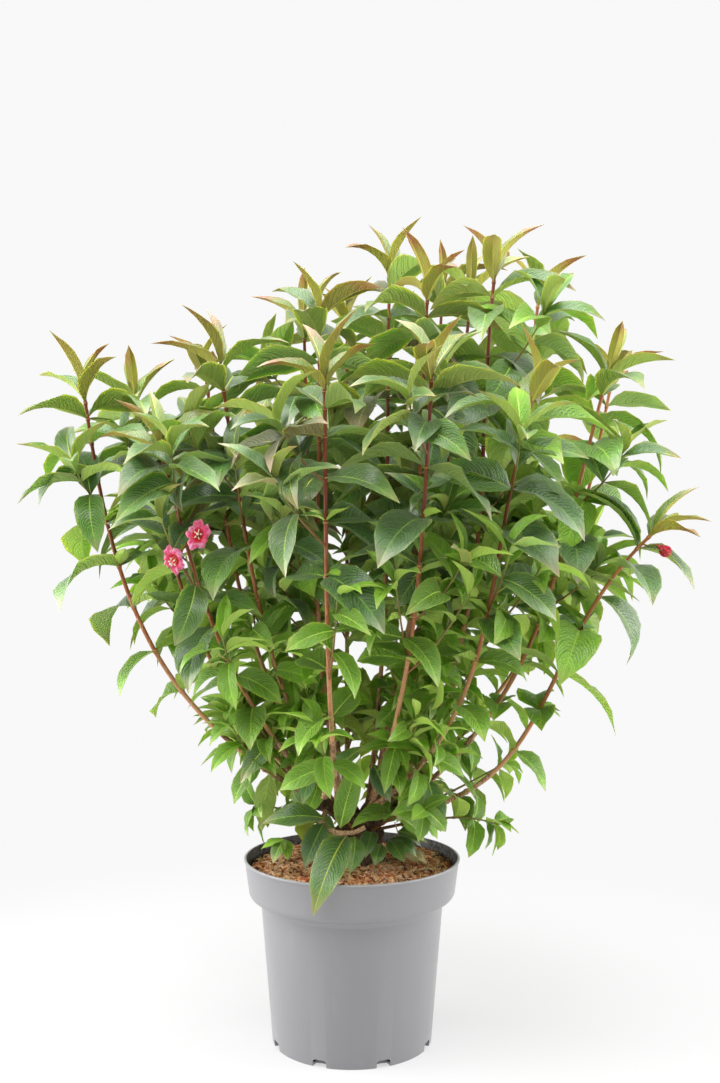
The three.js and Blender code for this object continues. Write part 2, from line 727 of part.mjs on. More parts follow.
const others = [pot, compost, stool, ...boughs].map((solid) => fenced(solid, 'wood'));
masses.forEach((mass) => {
  mass.frame = mainBody(wasm.Manifold.union(mass.stems).subtract(stoolWithGap));
  others.push(fenced(mass.frame, mass.name));
});

const plant = new THREE.Group();
plant.add(meshFrom('pot', pot, { color: 0x8f9094, roughness: 0.5 }));
plant.add(meshFrom('compost', compost, { color: 0x6b4a2f, roughness: 0.95 }));
plant.add(meshFrom('stool', stool, { color: 0x5a4636, roughness: 0.9 }));
boughs.forEach((bough, index) => {
  plant.add(meshFrom(`bough_${number(index)}`, bough, { color: 0x8a5a3c, roughness: 0.7 }));
});
masses.forEach((mass) => {
  plant.add(meshFrom(mass.name, growLeaves(mass, others), { color: 0x3f6b2f, roughness: 0.6 }));
});

export default plant;
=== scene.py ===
import math

import bmesh
import bpy
import numpy as np
from mathutils import Matrix, Quaternion, Vector, noise


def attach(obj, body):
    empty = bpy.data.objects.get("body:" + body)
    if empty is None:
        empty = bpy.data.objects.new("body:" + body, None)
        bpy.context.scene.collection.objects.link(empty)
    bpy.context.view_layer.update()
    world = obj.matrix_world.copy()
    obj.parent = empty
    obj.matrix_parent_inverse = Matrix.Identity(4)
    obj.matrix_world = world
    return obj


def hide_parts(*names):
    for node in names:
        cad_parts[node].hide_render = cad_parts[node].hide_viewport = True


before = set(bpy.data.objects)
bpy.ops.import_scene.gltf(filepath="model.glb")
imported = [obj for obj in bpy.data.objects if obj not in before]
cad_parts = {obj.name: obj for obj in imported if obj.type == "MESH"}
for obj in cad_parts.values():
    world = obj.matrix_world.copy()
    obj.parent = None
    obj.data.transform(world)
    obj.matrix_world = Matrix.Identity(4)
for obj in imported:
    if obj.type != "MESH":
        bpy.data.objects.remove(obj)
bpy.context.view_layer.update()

# ---- Pot ---------------------------------------------------------------------------------
# A round nursery pot of grey polypropylene, moulded in one shot: a tapering body, a deep
# upright collar with a rounded shoulder, a thin lip, and eight drainage notches cut in the
# foot. The plant stands in it loose; nothing is fixed.

POT_HEIGHT = 0.256
RIM_RADIUS = 0.151
LIP_RADIUS = 0.1522  # the lip stands a little proud of the collar
LIP_DEPTH = 0.0035
COLLAR_FOOT_RADIUS = 0.1455
COLLAR_FOOT_Z = 0.201
COLLAR_ROUNDING = 0.011
COLLAR_STEPS = 8
SHOULDER_DROP = 0.009  # how far below the collar's foot the body starts to flare
SHOULDER_EDGE_DROP = 0.005  # and where that flare ends
SHOULDER_FLARE = 0.003
BODY_TOP_RADIUS = 0.128
FOOT_RADIUS = 0.112
FOOT_RING = 0.012  # width of the ring that the pot stands on
FOOT_RECESS = 0.002
WALL = 0.0022
POT_FLOOR = 0.004
POT_EDGE = 0.0006  # how much the pot's edges are rounded
POT_CORNER = 25  # an edge is a line where the wall turns by more degrees than this
NOTCHES = 8
NOTCH_WIDE = 0.020
NOTCH_HIGH = 0.010
NOTCH_ROUNDING = 0.004
POT_SIDES = 160
INSIDE_FROM = 0.1  # faces nearer to the axis than this belong to the floor, not to the wall
FULL_TURN = 2 * math.pi


def colour(red, green, blue):
    """A paint colour from its amounts on a screen, out of 255, as light amounts."""
    shares = [amount / 255 for amount in (red, green, blue)]
    return (*[s / 12.92 if s < 0.04 else ((s + 0.055) / 1.055) ** 2.4 for s in shares], 1)


class Formula:
    """A number that varies over a surface, which plain arithmetic adds Math nodes to."""

    def __init__(self, finish, socket):
        self.finish = finish
        self.socket = socket

    def maths(self, operation, first, second, clamp=False):
        settings = {"operation": operation, "use_clamp": clamp}
        return self.finish.node("Math", settings, {0: first, 1: second})

    def __add__(self, other):
        return self.maths("ADD", self, other)

    __radd__ = __add__

    def __sub__(self, other):
        return self.maths("SUBTRACT", self, other)

    def __rsub__(self, other):
        return self.maths("SUBTRACT", other, self)

    def __mul__(self, other):
        return self.maths("MULTIPLY", self, other)

    __rmul__ = __mul__

    def __mod__(self, other):
        return self.maths("FLOORED_MODULO", self, other)

    def __abs__(self):
        return self.maths("ABSOLUTE", self, 0.0)

    def clamped(self):
        return self.maths("ADD", self, 0.0, clamp=True)

    def between(self, low, high, to_low=0.0, to_high=1.0):
        """An eased step from to_low at the value low to to_high at the value high."""
        sockets = {"Value": self, "From Min": low, "From Max": high, "To Min": to_low, "To Max": to_high}
        return self.finish.node("MapRange", {"interpolation_type": "SMOOTHSTEP"}, sockets)


class Finish:
    """A material, its shader and the nodes that feed it."""

    def __init__(self, name, **fixed):
        self.material = bpy.data.materials.new(name)
        self.wire(self.material, "Principled BSDF")
        self.paint(**fixed)

    def wire(self, owner, shader):
        """Turns on the nodes of a material or a world and finds its shader."""
        owner.use_nodes = True
        self.tree = owner.node_tree
        self.shader = self.tree.nodes[shader]

    def feed(self, socket, value):
        """Links a formula to a socket, or sets the socket's own value."""
        if isinstance(value, Formula):
            self.tree.links.new(value.socket, socket)
        else:
            socket.default_value = value

    def node(self, kind, settings=None, sockets=None, output=0):
        """Adds a node: its settings first, then the values or links of its sockets."""
        made = self.tree.nodes.new("ShaderNode" + kind)
        for setting, value in (settings or {}).items():
            setattr(made, setting, value)
        for socket, value in (sockets or {}).items():
            self.feed(made.inputs[socket], value)
        return Formula(self, made.outputs[output])

    def part(self, vector, number):
        """The first, second or third number of a vector, counted from 0."""
        return self.node("SeparateXYZ", {}, {0: vector}, output=number)

    def attribute(self, name):
        """A number that the mesh gives for each corner."""
        return self.node("Attribute", {"attribute_name": name}, output="Fac")

    def place(self, scale=(1, 1, 1)):
        """Where on the object a point is, in metres, stretched by a scale."""
        here = self.node("TexCoord", output="Object")
        return self.node("Mapping", {}, {"Vector": here, "Scale": scale})

    def grain(self, scale, detail=2.0, stretch=(1, 1, 1), roughness=0.5):
        """Even noise from 0 to 1 with about `scale` lumps to a metre."""
        sockets = {"Vector": self.place(stretch), "Scale": scale, "Detail": detail, "Roughness": roughness}
        return self.node("TexNoise", {}, sockets)

    def mixed(self, first, second, share):
        """One colour turning to another as a share goes from 0 to 1."""
        sockets = {"Factor": share, 6: first, 7: second}
        return self.node("Mix", {"data_type": "RGBA"}, sockets, output=2)

    def paint(self, **fed):
        """Sets or feeds the shader's sockets, named in small letters."""
        for name, value in fed.items():
            socket = name.replace("_", " ").title().replace("Ior", "IOR")
            self.feed(self.shader.inputs[socket], value)
        return self

    def mottle(self, first, second, grain, low, high):
        """Paints one colour that turns to another where a grain goes from low to high."""
        return self.paint(base_color=self.mixed(first, second, grain.between(low, high)))

    def relief(self, height, depth):
        """Raises the surface by a height times a depth in metres."""
        return self.paint(normal=self.node("Bump", {}, {"Height": height, "Distance": depth}))


def placed(name, data):
    """A mesh, lamp or camera as an object in the scene."""
    made = bpy.data.objects.new(name, data)
    bpy.context.scene.collection.objects.link(made)
    return made


def piece(name, mesh, finishes, nodes, crease=35):
    """Puts a finished mesh in the scene as a piece that stands for some nodes of the frame."""
    for finish in finishes:
        mesh.materials.append(finish.material)
    mesh.shade_smooth()
    mesh.set_sharp_from_angle(angle=math.radians(crease))
    made = placed(name, mesh)
    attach(made, "root")
    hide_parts(*nodes)


def mesh_of(bm, name):
    """A mesh from a bmesh, which is then freed."""
    mesh = bpy.data.meshes.new(name)
    bm.to_mesh(mesh)
    bm.free()
    return mesh


def wall_line(inset):
    """Radius and height of the pot's outside from its shoulder to its collar, moved in."""
    line = [
        (BODY_TOP_RADIUS - inset, COLLAR_FOOT_Z - SHOULDER_DROP),
        (BODY_TOP_RADIUS + SHOULDER_FLARE - inset, COLLAR_FOOT_Z - SHOULDER_EDGE_DROP),
    ]
    for step in range(COLLAR_STEPS + 1):
        turn = math.pi / 2 * step / COLLAR_STEPS
        out = COLLAR_ROUNDING * (1 - math.sin(turn))
        up = COLLAR_ROUNDING * (1 - math.cos(turn))
        line.append((COLLAR_FOOT_RADIUS - out - inset, COLLAR_FOOT_Z + up))
    return line


def turned(profile, sides):
    """A closed solid of revolution about Z from a line of (radius, height) points."""
    bm = bmesh.new()
    corners = [bm.verts.new((radius, 0, height)) for radius, height in profile]
    edges = [bm.edges.new(pair) for pair in zip(corners, corners[1:])]
    bmesh.ops.spin(
        bm, geom=corners + edges, cent=(0, 0, 0), axis=(0, 0, 1), dvec=(0, 0, 0),
        angle=FULL_TURN, steps=sides, use_merge=True, use_duplicate=False,
    )
    bmesh.ops.remove_doubles(bm, verts=bm.verts, dist=1e-5)
    bmesh.ops.recalc_face_normals(bm, faces=bm.faces)
    return bm


def rounded(bm, edges, offset, segments):
    """Rounds some edges of a bmesh."""
    bmesh.ops.bevel(
        bm, geom=edges, offset=offset, offset_type="OFFSET", affect="EDGES",
        segments=segments, profile=0.5, material=-1,
    )


def modified(carrier, kind, **settings):
    """Adds a modifier to an object."""
    added = carrier.modifiers.new(kind.lower(), kind)
    for setting, value in settings.items():
        setattr(added, setting, value)


def applied(carrier):
    """The mesh of an object with its modifiers applied; the object is then removed."""
    mesh = bpy.data.meshes.new_from_object(carrier.evaluated_get(bpy.context.evaluated_depsgraph_get()))
    bpy.data.objects.remove(carrier)
    return mesh


pot_profile = [
    (0, FOOT_RECESS), (FOOT_RADIUS - FOOT_RING, FOOT_RECESS), (FOOT_RADIUS - FOOT_RING, 0), (FOOT_RADIUS, 0),
    *wall_line(0),
    (RIM_RADIUS, POT_HEIGHT - LIP_DEPTH), (LIP_RADIUS, POT_HEIGHT - LIP_DEPTH), (LIP_RADIUS, POT_HEIGHT),
    (RIM_RADIUS - WALL, POT_HEIGHT),
    *reversed(wall_line(WALL)),
    (FOOT_RADIUS - WALL, POT_FLOOR), (0, POT_FLOOR),
]
shell = turned(pot_profile, POT_SIDES)
sharp = [e for e in shell.edges if e.is_manifold and e.calc_face_angle() > math.radians(POT_CORNER)]
rounded(shell, sharp, POT_EDGE, 2)

notches = bmesh.new()
for n in range(NOTCHES):
    turn = Matrix.Rotation(FULL_TURN * (n + 0.5) / NOTCHES, 4, "Z")
    size = Matrix.Diagonal((2 * FOOT_RING, NOTCH_WIDE, 2 * NOTCH_HIGH, 1))
    bmesh.ops.create_cube(notches, size=1, matrix=turn @ Matrix.Translation((FOOT_RADIUS, 0, 0)) @ size)
roof = [e for e in notches.edges if max(v.co.z for v in e.verts) > 0 and e.calc_length() > NOTCH_WIDE]
rounded(notches, roof, NOTCH_ROUNDING, 4)
cutter = placed("notch_cutter", mesh_of(notches, "notch_cutter"))
blank = placed("pot_blank", mesh_of(shell, "pot_shell"))
modified(blank, "BOOLEAN", object=cutter, operation="DIFFERENCE", solver="EXACT")
pot_mesh = applied(blank)
bpy.data.objects.remove(cutter)

POT_GREY = colour(142, 141, 144)
POT_GREY_LIGHTER = colour(162, 161, 163)
POT_INSIDE_SHADED = colour(84, 84, 85)
POT_INSIDE_STAINED = colour(52, 44, 38)

pot_plastic = Finish("pot_plastic", coat_weight=0.6, coat_roughness=0.34, ior=1.49)
# The top few millimetres of the lip are painted a lighter grey in patches; the scuffs, which are wear, take
# the same lighter grey.
lip = pot_plastic.part(pot_plastic.place(), 2).between(POT_HEIGHT - 0.0030, POT_HEIGHT - 0.0005)
lighter_lip = lip * pot_plastic.grain(60).between(0.3, 0.6, 0.4, 1)
scuffs = pot_plastic.grain(35, 6, (1, 1, 0.25), 0.7).between(0.56, 0.74)
streaks = pot_plastic.grain(22, 2, (1, 1, 0.3))
pot_plastic.paint(
    base_color=pot_plastic.mixed(POT_GREY, POT_GREY_LIGHTER, (lighter_lip + 0.25 * scuffs).clamped()),
    roughness=pot_plastic.grain(14, 3).between(0.3, 0.7, 0.40, 0.50) + 0.1 * scuffs,
).relief(pot_plastic.grain(1500, 1) + 3 * streaks, 0.00012)

# Painted shade: the inside wall is the pot's own grey plastic painted a darker grey for the shade in the pot,
# mottled with real brown stains from the compost.
pot_inside = Finish("pot_inside", ior=1.49)
pot_inside.mottle(POT_INSIDE_SHADED, POT_INSIDE_STAINED, pot_inside.grain(180, 5), 0.45, 0.62)
pot_inside.paint(roughness=pot_inside.grain(90, 3).between(0.3, 0.7, 0.5, 0.75))
pot_inside.relief(pot_inside.grain(400, 4), 0.0004)

for face in pot_mesh.polygons:
    middle = face.center
    inward = face.normal.xy.dot(middle.xy) < 0
    inside = inward and middle.z > POT_FLOOR and middle.xy.length > INSIDE_FROM
    face.material_index = 1 if inside else 0
piece("nursery_pot", pot_mesh, [pot_plastic, pot_inside], ["pot"], crease=40)

# ---- Compost -----------------------------------------------------------------------------
# The filling: composted bark and coir, a brown crumb a finger's breadth below the lip, with
# loose bark chips and pale coir fibres lying on it. Filled in by machine and settled by
# watering, so it is lumpy and drops a little towards the wall.

COMPOST_TOP = 0.240
COMPOST_MOUND = 0.007  # how much higher the compost lies round the stems than at the wall
COMPOST_RADIUS = 0.1460
COMPOST_DEPTH = 0.025  # how far the crumb is modelled below its surface
LUMPS = 55  # lumps of the crumb to a metre
LUMP_HEIGHT = 0.0032
WALL_DROP = 0.002  # how far the compost drops at the wall
CRUMB_RINGS = 52
CRUMB_SIDES = 190
CHIPS = 3400
SHORTEST_CHIP = 0.005
CHIP_SPREAD = 0.013  # how much longer the longest chip is
CHIP_REACH = 0.965  # how far out the chips lie, as a share of the compost's radius
FLAKE_THICK = 0.0035
FIBRES = 3000
FIBRE_REACH = 0.94
FIBRE_END_REACH = 0.97
FIBRE_RADIUS = 0.00052


def seeded_row(seed):
    """Even numbers from 0 to 1 without end, always the same for the same seed."""
    state = (seed * 7919 + 12345) % 2**32

    def draw():
        nonlocal state
        state = (state * 1664525 + 1013904223) % 2**32
        return state / 2**32

    draw()
    return draw


def surface_z(x, y):
    """The height of the lumpy compost at a place."""
    out = math.hypot(x, y) / COMPOST_RADIUS
    lumps = noise.fractal(Vector((x, y, 0.3)) * LUMPS, 0.7, 2.2, 4)
    mound = COMPOST_MOUND * (1 - out * out)
    return COMPOST_TOP + mound + LUMP_HEIGHT * lumps - WALL_DROP * max(0, out - 0.9) / 0.1


crumb_line = [(0, COMPOST_TOP - COMPOST_DEPTH), (COMPOST_RADIUS - 0.001, COMPOST_TOP - COMPOST_DEPTH)]
crumb_line += [(COMPOST_RADIUS * (1 - n / CRUMB_RINGS), COMPOST_TOP) for n in range(CRUMB_RINGS + 1)]
crumb = turned(crumb_line, CRUMB_SIDES)
for corner in crumb.verts:
    if corner.co.z > COMPOST_TOP - 0.001:
        corner.co.z = surface_z(corner.co.x, corner.co.y)

CRUMB_DARK = colour(54, 32, 20)
CRUMB_BROWN = colour(206, 134, 82)
crumb_finish = Finish("compost_crumb", roughness=0.95)
# The dark crumb follows the low parts of the relief: partly the compost's own dark peat and partly painted
# shade in the gaps between crumbs.
crumb_grain = crumb_finish.grain(420, 6, roughness=0.75)
crumb_finish.mottle(CRUMB_DARK, CRUMB_BROWN, crumb_grain, 0.38, 0.66)
crumb_finish.relief(crumb_grain + 0.6 * crumb_finish.grain(1100, 3), 0.004)
piece("compost_crumb", mesh_of(crumb, "compost_crumb"), [crumb_finish], ["compost"], crease=60)


def corner_spots(mesh):
    """The places of a mesh's corners, one to a row."""
    spots = np.empty(3 * len(mesh.vertices))
    mesh.vertices.foreach_get("co", spots)
    return spots.reshape(-1, 3)


def copied(name, spots, faces):
    """One mesh of copies of a pattern, from each copy's corners and the pattern's faces."""
    count = spots.shape[1]
    everything = [[v + count * n for v in face] for n in range(len(spots)) for face in faces]
    mesh = bpy.data.meshes.new(name)
    mesh.from_pydata(spots.reshape(-1, 3).tolist(), [], everything)
    mesh.update()
    return mesh


def joined(name, pattern, poses):
    """One mesh of copies of a pattern mesh, each through its own 4x4 matrix."""
    corners = np.c_[corner_spots(pattern), np.ones(len(pattern.vertices))]
    spots = np.einsum("pij,vj->pvi", np.array(poses, float), corners)[:, :, :3]
    return copied(name, spots, [list(face.vertices) for face in pattern.polygons])


def scattered(row, reach):
    """A random place on the compost, out to a share of its radius."""
    out = COMPOST_RADIUS * reach * math.sqrt(row())
    bearing = FULL_TURN * row()
    return out * math.cos(bearing), out * math.sin(bearing)


def lying(x, y, above):
    """The matrix that moves a thing to a place on the compost, some way above it."""
    return Matrix.Translation((x, y, surface_z(x, y) + above))


chip = bmesh.new()
bmesh.ops.create_cube(chip, size=1)
lengthwise = [e for e in chip.edges if abs(e.verts[0].co.x - e.verts[1].co.x) > 0.5]
bmesh.ops.subdivide_edges(chip, edges=lengthwise, cuts=2)
chip_row = seeded_row(3)
for corner in chip.verts:
    end = abs(corner.co.x) > 0.4
    corner.co.y *= (0.5 if end else 1) * (0.8 + 0.4 * chip_row())
    corner.co.z += 0.3 * (chip_row() - 0.5) + 0.25 * corner.co.x**2
chip_mesh = mesh_of(chip, "bark_chip")

# The kinds of chips: the share of all the chips, the light colour and the dark one.
CHIP_KINDS = {
    "red": (0.34, colour(214, 126, 76), colour(164, 86, 50)),
    "dark": (0.24, colour(122, 72, 50), colour(70, 40, 28)),
    "tan": (0.42, colour(246, 202, 150), colour(222, 158, 104)),
}

# The long flakes: the place in metres, the bearing in degrees, and the length and width.
FLAKES = [
    ((0.054, -0.072), 24, 0.034, 0.009),
    ((-0.060, -0.090), 150, 0.020, 0.006),
    ((0.095, -0.020), 80, 0.018, 0.005),
]
row = seeded_row(5)
for tint, (share, light, dark) in CHIP_KINDS.items():
    poses = []
    for n in range(int(CHIPS * share)):
        x, y = scattered(row, CHIP_REACH)
        length = SHORTEST_CHIP + CHIP_SPREAD * row() ** 2.2
        size = (length, length * (0.12 + 0.20 * row()), length * (0.10 + 0.12 * row()))
        tilt = Matrix.Rotation(FULL_TURN * row(), 4, "Z") @ Matrix.Rotation(1.1 * (row() - 0.5), 4, "Y")
        tilt = tilt @ Matrix.Rotation(1.2 * (row() - 0.5), 4, "X")
        poses.append(lying(x, y, 0.0012) @ tilt @ Matrix.Diagonal((*size, 1)))
    for (x, y), bearing, length, width in FLAKES if tint == "red" else []:
        turn = Matrix.Rotation(math.radians(bearing), 4, "Z") @ Matrix.Rotation(0.12, 4, "Y")
        poses.append(lying(x, y, FLAKE_THICK) @ turn @ Matrix.Diagonal((length, width, FLAKE_THICK, 1)))
    chip_finish = Finish(f"bark_chip_{tint}", roughness=0.85)
    chip_finish.mottle(dark, light, chip_finish.grain(500, 4), 0.35, 0.65)
    chip_finish.relief(chip_finish.grain(1600, 4, (1, 1, 0.4)), 0.0008)
    chips = joined(f"{tint}_bark_chips", chip_mesh, poses)
    piece(f"{tint}_bark_chips", chips, [chip_finish], ["compost"], crease=50)


def tubes(name, lines, roundness=2):
    """A mesh of closed round stems, each a line of (point, radius) pairs."""
    curve = bpy.data.curves.new(name, "CURVE")
    curve.dimensions = "3D"
    curve.bevel_depth = 1
    curve.bevel_resolution = roundness
    curve.use_fill_caps = True
    for line in lines:
        spline = curve.splines.new("POLY")
        spline.points.add(len(line) - 1)
        spline.points.foreach_set("co", [c for point, _ in line for c in (*point, 1)])
        spline.points.foreach_set("radius", [radius for _, radius in line])
    carrier = bpy.data.objects.new(name, curve)
    mesh = bpy.data.meshes.new_from_object(carrier)
    bpy.data.objects.remove(carrier)
    return mesh


fibre_lines = []
row = seeded_row(8)
for n in range(FIBRES):
    x, y = scattered(row, FIBRE_REACH)
    way = FULL_TURN * row()
    step = 0.002 + 0.004 * row()
    line = []
    for k in range(5):
        way += 1.1 * (row() - 0.5)
        rise = 0.0022 * math.sin(math.pi * k / 4) * (0.4 + row())
        line.append((Vector((x, y, surface_z(x, y) + 0.0015 + rise)), FIBRE_RADIUS - 0.00006 * k))
        x += step * math.cos(way)
        y += step * math.sin(way)
        if math.hypot(x, y) > COMPOST_RADIUS * FIBRE_END_REACH:
            break
    if len(line) > 2:
        fibre_lines.append(line)
fibre_finish = Finish("coir_fibre", roughness=0.8)
fibre_finish.mottle(colour(196, 134, 84), colour(248, 220, 176), fibre_finish.grain(120), 0.4, 0.6)
piece("coir_fibres", tubes("coir_fibres", fibre_lines, 0), [fibre_finish], ["compost"])

# ---- Stool -------------------------------------------------------------------------------
# The old wood: a short gnarled stock, flared where it enters the compost, with eight limbs
# that were cut back year after year to swollen knuckles. It grew in one piece, under dark
# flaking bark with fissures along the grain.

STOOL_PLACE = Vector((0.009, 0.004, 0))
FLARE_RADIUS = 0.043
WAIST_RADIUS = 0.029
WAIST_Z = 0.268
HEAD_Z = 0.306
LOBES = 5
LIMBS = 8
LIMB_TURN = 22.5
LIMB_REACH = 0.066
LIMB_TOP = 0.336
LIMB_DROP = 0.012  # how much lower every second knuckle lies
LIMB_SPREAD = 0.008  # and how much further out
LIMB_FOOT_RADIUS = 0.0112
LIMB_TIP_RADIUS = 0.0082
LIMB_STEPS = 8
KNOB_RADIUS = 0.0105
KNOB_LUMPS = 3
STOOL_VOXEL = 0.0016
UP = Vector((0, 0, 1))


def level(degrees):
    """The level direction at a bearing."""
    return Vector((math.cos(math.radians(degrees)), math.sin(math.radians(degrees)), 0))


class Path:
    """A bowed line in one upright plane, measured by the share of its length."""

    def __init__(self, start, end, leave, arrive, handle):
        run = Vector((end.x - start.x, end.y - start.y, 0)).normalized()
        reach = (end - start).length * handle
        leaving = run * math.cos(math.radians(leave)) + UP * math.sin(math.radians(leave))
        arriving = run * math.cos(math.radians(arrive)) + UP * math.sin(math.radians(arrive))
        poles = [start, start + leaving * reach, end - arriving * reach, end]
        t = np.linspace(0, 1, 201)[:, None]
        weights = [(1 - t) ** 3, 3 * t * (1 - t) ** 2, 3 * t**2 * (1 - t), t**3]
        self.points = sum(weight * np.array(pole) for weight, pole in zip(weights, poles))
        self.run = np.r_[0, np.cumsum(np.linalg.norm(np.diff(self.points, axis=0), axis=1))]
        self.length = float(self.run[-1])
        self.across = Vector((-run.y, run.x, 0))

    def point(self, share):
        return Vector([np.interp(share * self.length, self.run, self.points[:, k]) for k in range(3)])

    def tangent(self, share):
        return (self.point(min(1, share + 0.01)) - self.point(max(0, share - 0.01))).normalized()


def limb_path(index):
    """The line of an old limb, from inside the stool's head out to its knuckle."""
    out = level(LIMB_TURN + 360 / LIMBS * index)
    low = index % 2
    foot = STOOL_PLACE + UP * (HEAD_Z - 0.012) + out * 0.008
    end = STOOL_PLACE + UP * (LIMB_TOP - LIMB_DROP * low) + out * (LIMB_REACH - LIMB_SPREAD * (1 - low))
    return Path(foot, end, 40, 12, 0.4)


stock_line = [
    (0, COMPOST_TOP - 0.006),
    (FLARE_RADIUS + 0.004, COMPOST_TOP - 0.006),
    (FLARE_RADIUS - 0.004, COMPOST_TOP + 0.006),
    (WAIST_RADIUS + 0.003, COMPOST_TOP + 0.016),
    (WAIST_RADIUS, WAIST_Z),
    (WAIST_RADIUS + 0.003, HEAD_Z - 0.016),
    (WAIST_RADIUS - 0.006, HEAD_Z - 0.003),
    (0, HEAD_Z),
]
stock = turned(stock_line, 60)
for corner in stock.verts:
    bearing = math.atan2(corner.co.y, corner.co.x)
    lobe = 1 + 0.13 * math.cos(LOBES * bearing) + 0.06 * math.cos(2 * bearing + 1)
    corner.co = STOOL_PLACE + Vector((corner.co.x * lobe, corner.co.y * lobe, corner.co.z))
row = seeded_row(21)
limb_lines = []
for n in range(LIMBS):
    path = limb_path(n)
    for k in range(KNOB_LUMPS):
        size = KNOB_RADIUS * (0.75 + 0.3 * row())
        lump = path.point(1) - path.tangent(1) * 0.006 * k + Vector((row(), row(), row())) * 0.004
        bmesh.ops.create_icosphere(stock, subdivisions=2, radius=size, matrix=Matrix.Translation(lump))
    limb_lines.append([
        (path.point(k / LIMB_STEPS), LIMB_FOOT_RADIUS + (LIMB_TIP_RADIUS - LIMB_FOOT_RADIUS) * k / LIMB_STEPS)
        for k in range(LIMB_STEPS + 1)
    ])
stock.from_mesh(tubes("limbs", limb_lines, 3))
stock_blank = placed("stock_blank", mesh_of(stock, "stock_blank"))
modified(stock_blank, "REMESH", mode="VOXEL", voxel_size=STOOL_VOXEL)
modified(stock_blank, "SMOOTH", iterations=6)
stool_mesh = applied(stock_blank)


def barked(mesh, depth, along):
    """Pushes a mesh in and out by the fissures and flakes of bark, stretched along the wood."""
    bm = bmesh.new()
    bm.from_mesh(mesh)
    bm.normal_update()
    moves = []
    for corner in bm.verts:
        spot = Vector((corner.co.x * 260, corner.co.y * 260, corner.co.z * along))
        fissures = 1 - abs(noise.noise(spot)) * 2.4
        flakes = noise.fractal(corner.co * 420, 0.8, 2, 3)
        swell = noise.noise(corner.co * 60)
        moves.append(corner.normal * depth * (1.4 * swell - 0.9 * max(0, fissures) ** 3 + 0.45 * flakes))
    for corner, move in zip(bm.verts, moves):
        corner.co += move
    bm.to_mesh(mesh)
    bm.free()
    return mesh


old_bark = Finish("old_bark", roughness=0.88)
old_fissures = old_bark.grain(300, 6, (1, 1, 0.35), 0.7)
old_tone = old_bark.mixed(colour(52, 38, 29), colour(126, 98, 74), old_fissures.between(0.36, 0.66))
weathered = 0.6 * old_bark.grain(90, 4).between(0.56, 0.72)
old_bark.paint(base_color=old_bark.mixed(old_tone, colour(148, 134, 112), weathered))
old_bark.relief(old_fissures + 0.4 * old_bark.grain(1400, 4), 0.0022)
piece("old_stool", barked(stool_mesh, 0.0014, 90), [old_bark], ["stool"], crease=70)

# The pruned stubs at the front of the stool and the bare stalk that holds a withered leaf:
# the points of each in millimetres, and its radius at its foot and at its end.
STUBS = [
    (
        [(-36, -34, 326), (-42, -54, 317), (-33, -67, 308), (-14, -74, 305), (4, -77, 307), (18, -77, 314)],
        3.6, 3.2,
    ),
    ([(-26, -42, 418), (-27, -60, 412), (-31, -78, 392), (-34, -84, 374), (-37, -86, 355)], 3.2, 4.6),
    ([(60, -22, 308), (67, -16, 284), (72, -12, 262)], 0.8, 0.6),
]
STUB_STEPS = 8  # steps for each of a stub's points, the last of them swollen
stub_lines = []
for points, foot_radius, end_radius in STUBS:
    marks = np.array(points) * 0.001
    last = len(points) - 1
    line = []
    for n, share in enumerate(np.linspace(0, last, STUB_STEPS * len(points))):
        spot = Vector([np.interp(share, range(len(points)), marks[:, k]) for k in range(3)])
        radius = (foot_radius + (end_radius - foot_radius) * share / last) * 0.001
        swollen = n % STUB_STEPS == STUB_STEPS - 1
        line.append((spot, radius * (1 + 0.22 * noise.noise(spot * 160) + 0.25 * swollen)))
    stub_lines.append(line)
stub_bark = Finish("stub_bark", roughness=0.8)
stub_strings = stub_bark.grain(500, 5, roughness=0.65)
stub_bark.mottle(colour(140, 98, 68), colour(232, 194, 150), stub_strings, 0.34, 0.64)
stub_bark.relief(stub_strings, 0.0012)
cut_wood = Finish("cut_wood", roughness=0.75)
cut_wood.mottle(colour(226, 204, 164), colour(196, 160, 116), cut_wood.grain(900, 3), 0.4, 0.6)
stub_mesh = tubes("pruned_stubs", stub_lines, 3)
for face in stub_mesh.polygons:
    face.material_index = 1 if len(face.vertices) > 4 else 0  # the caps have many sides
piece("pruned_stubs", stub_mesh, [stub_bark, cut_wood], ["stool"], crease=50)

# ---- Boughs ------------------------------------------------------------------------------
# The bare feet of the twenty-four canes: two-year-old wood, straw brown with stringy bark
# and a swollen ring at each joint, that springs from the old limbs.

CANE_HANDLE = 0.42
CANE_FOOT_RADIUS = 0.0041
CANE_NECK_RADIUS = 0.0033
CANE_TIP_RADIUS = 0.0023
BARE_SHARE = 0.25
BOUGH_INTERNODE = 0.045
BOUGH_JOINTS = 5
HEEL_SWELL = 0.7  # how much thicker a cane is where it leaves the limb
HEEL_STEPS = 5
RING_SWELL = 0.35  # how much thicker a stem is at its joints
RING_WIDE = 0.0035

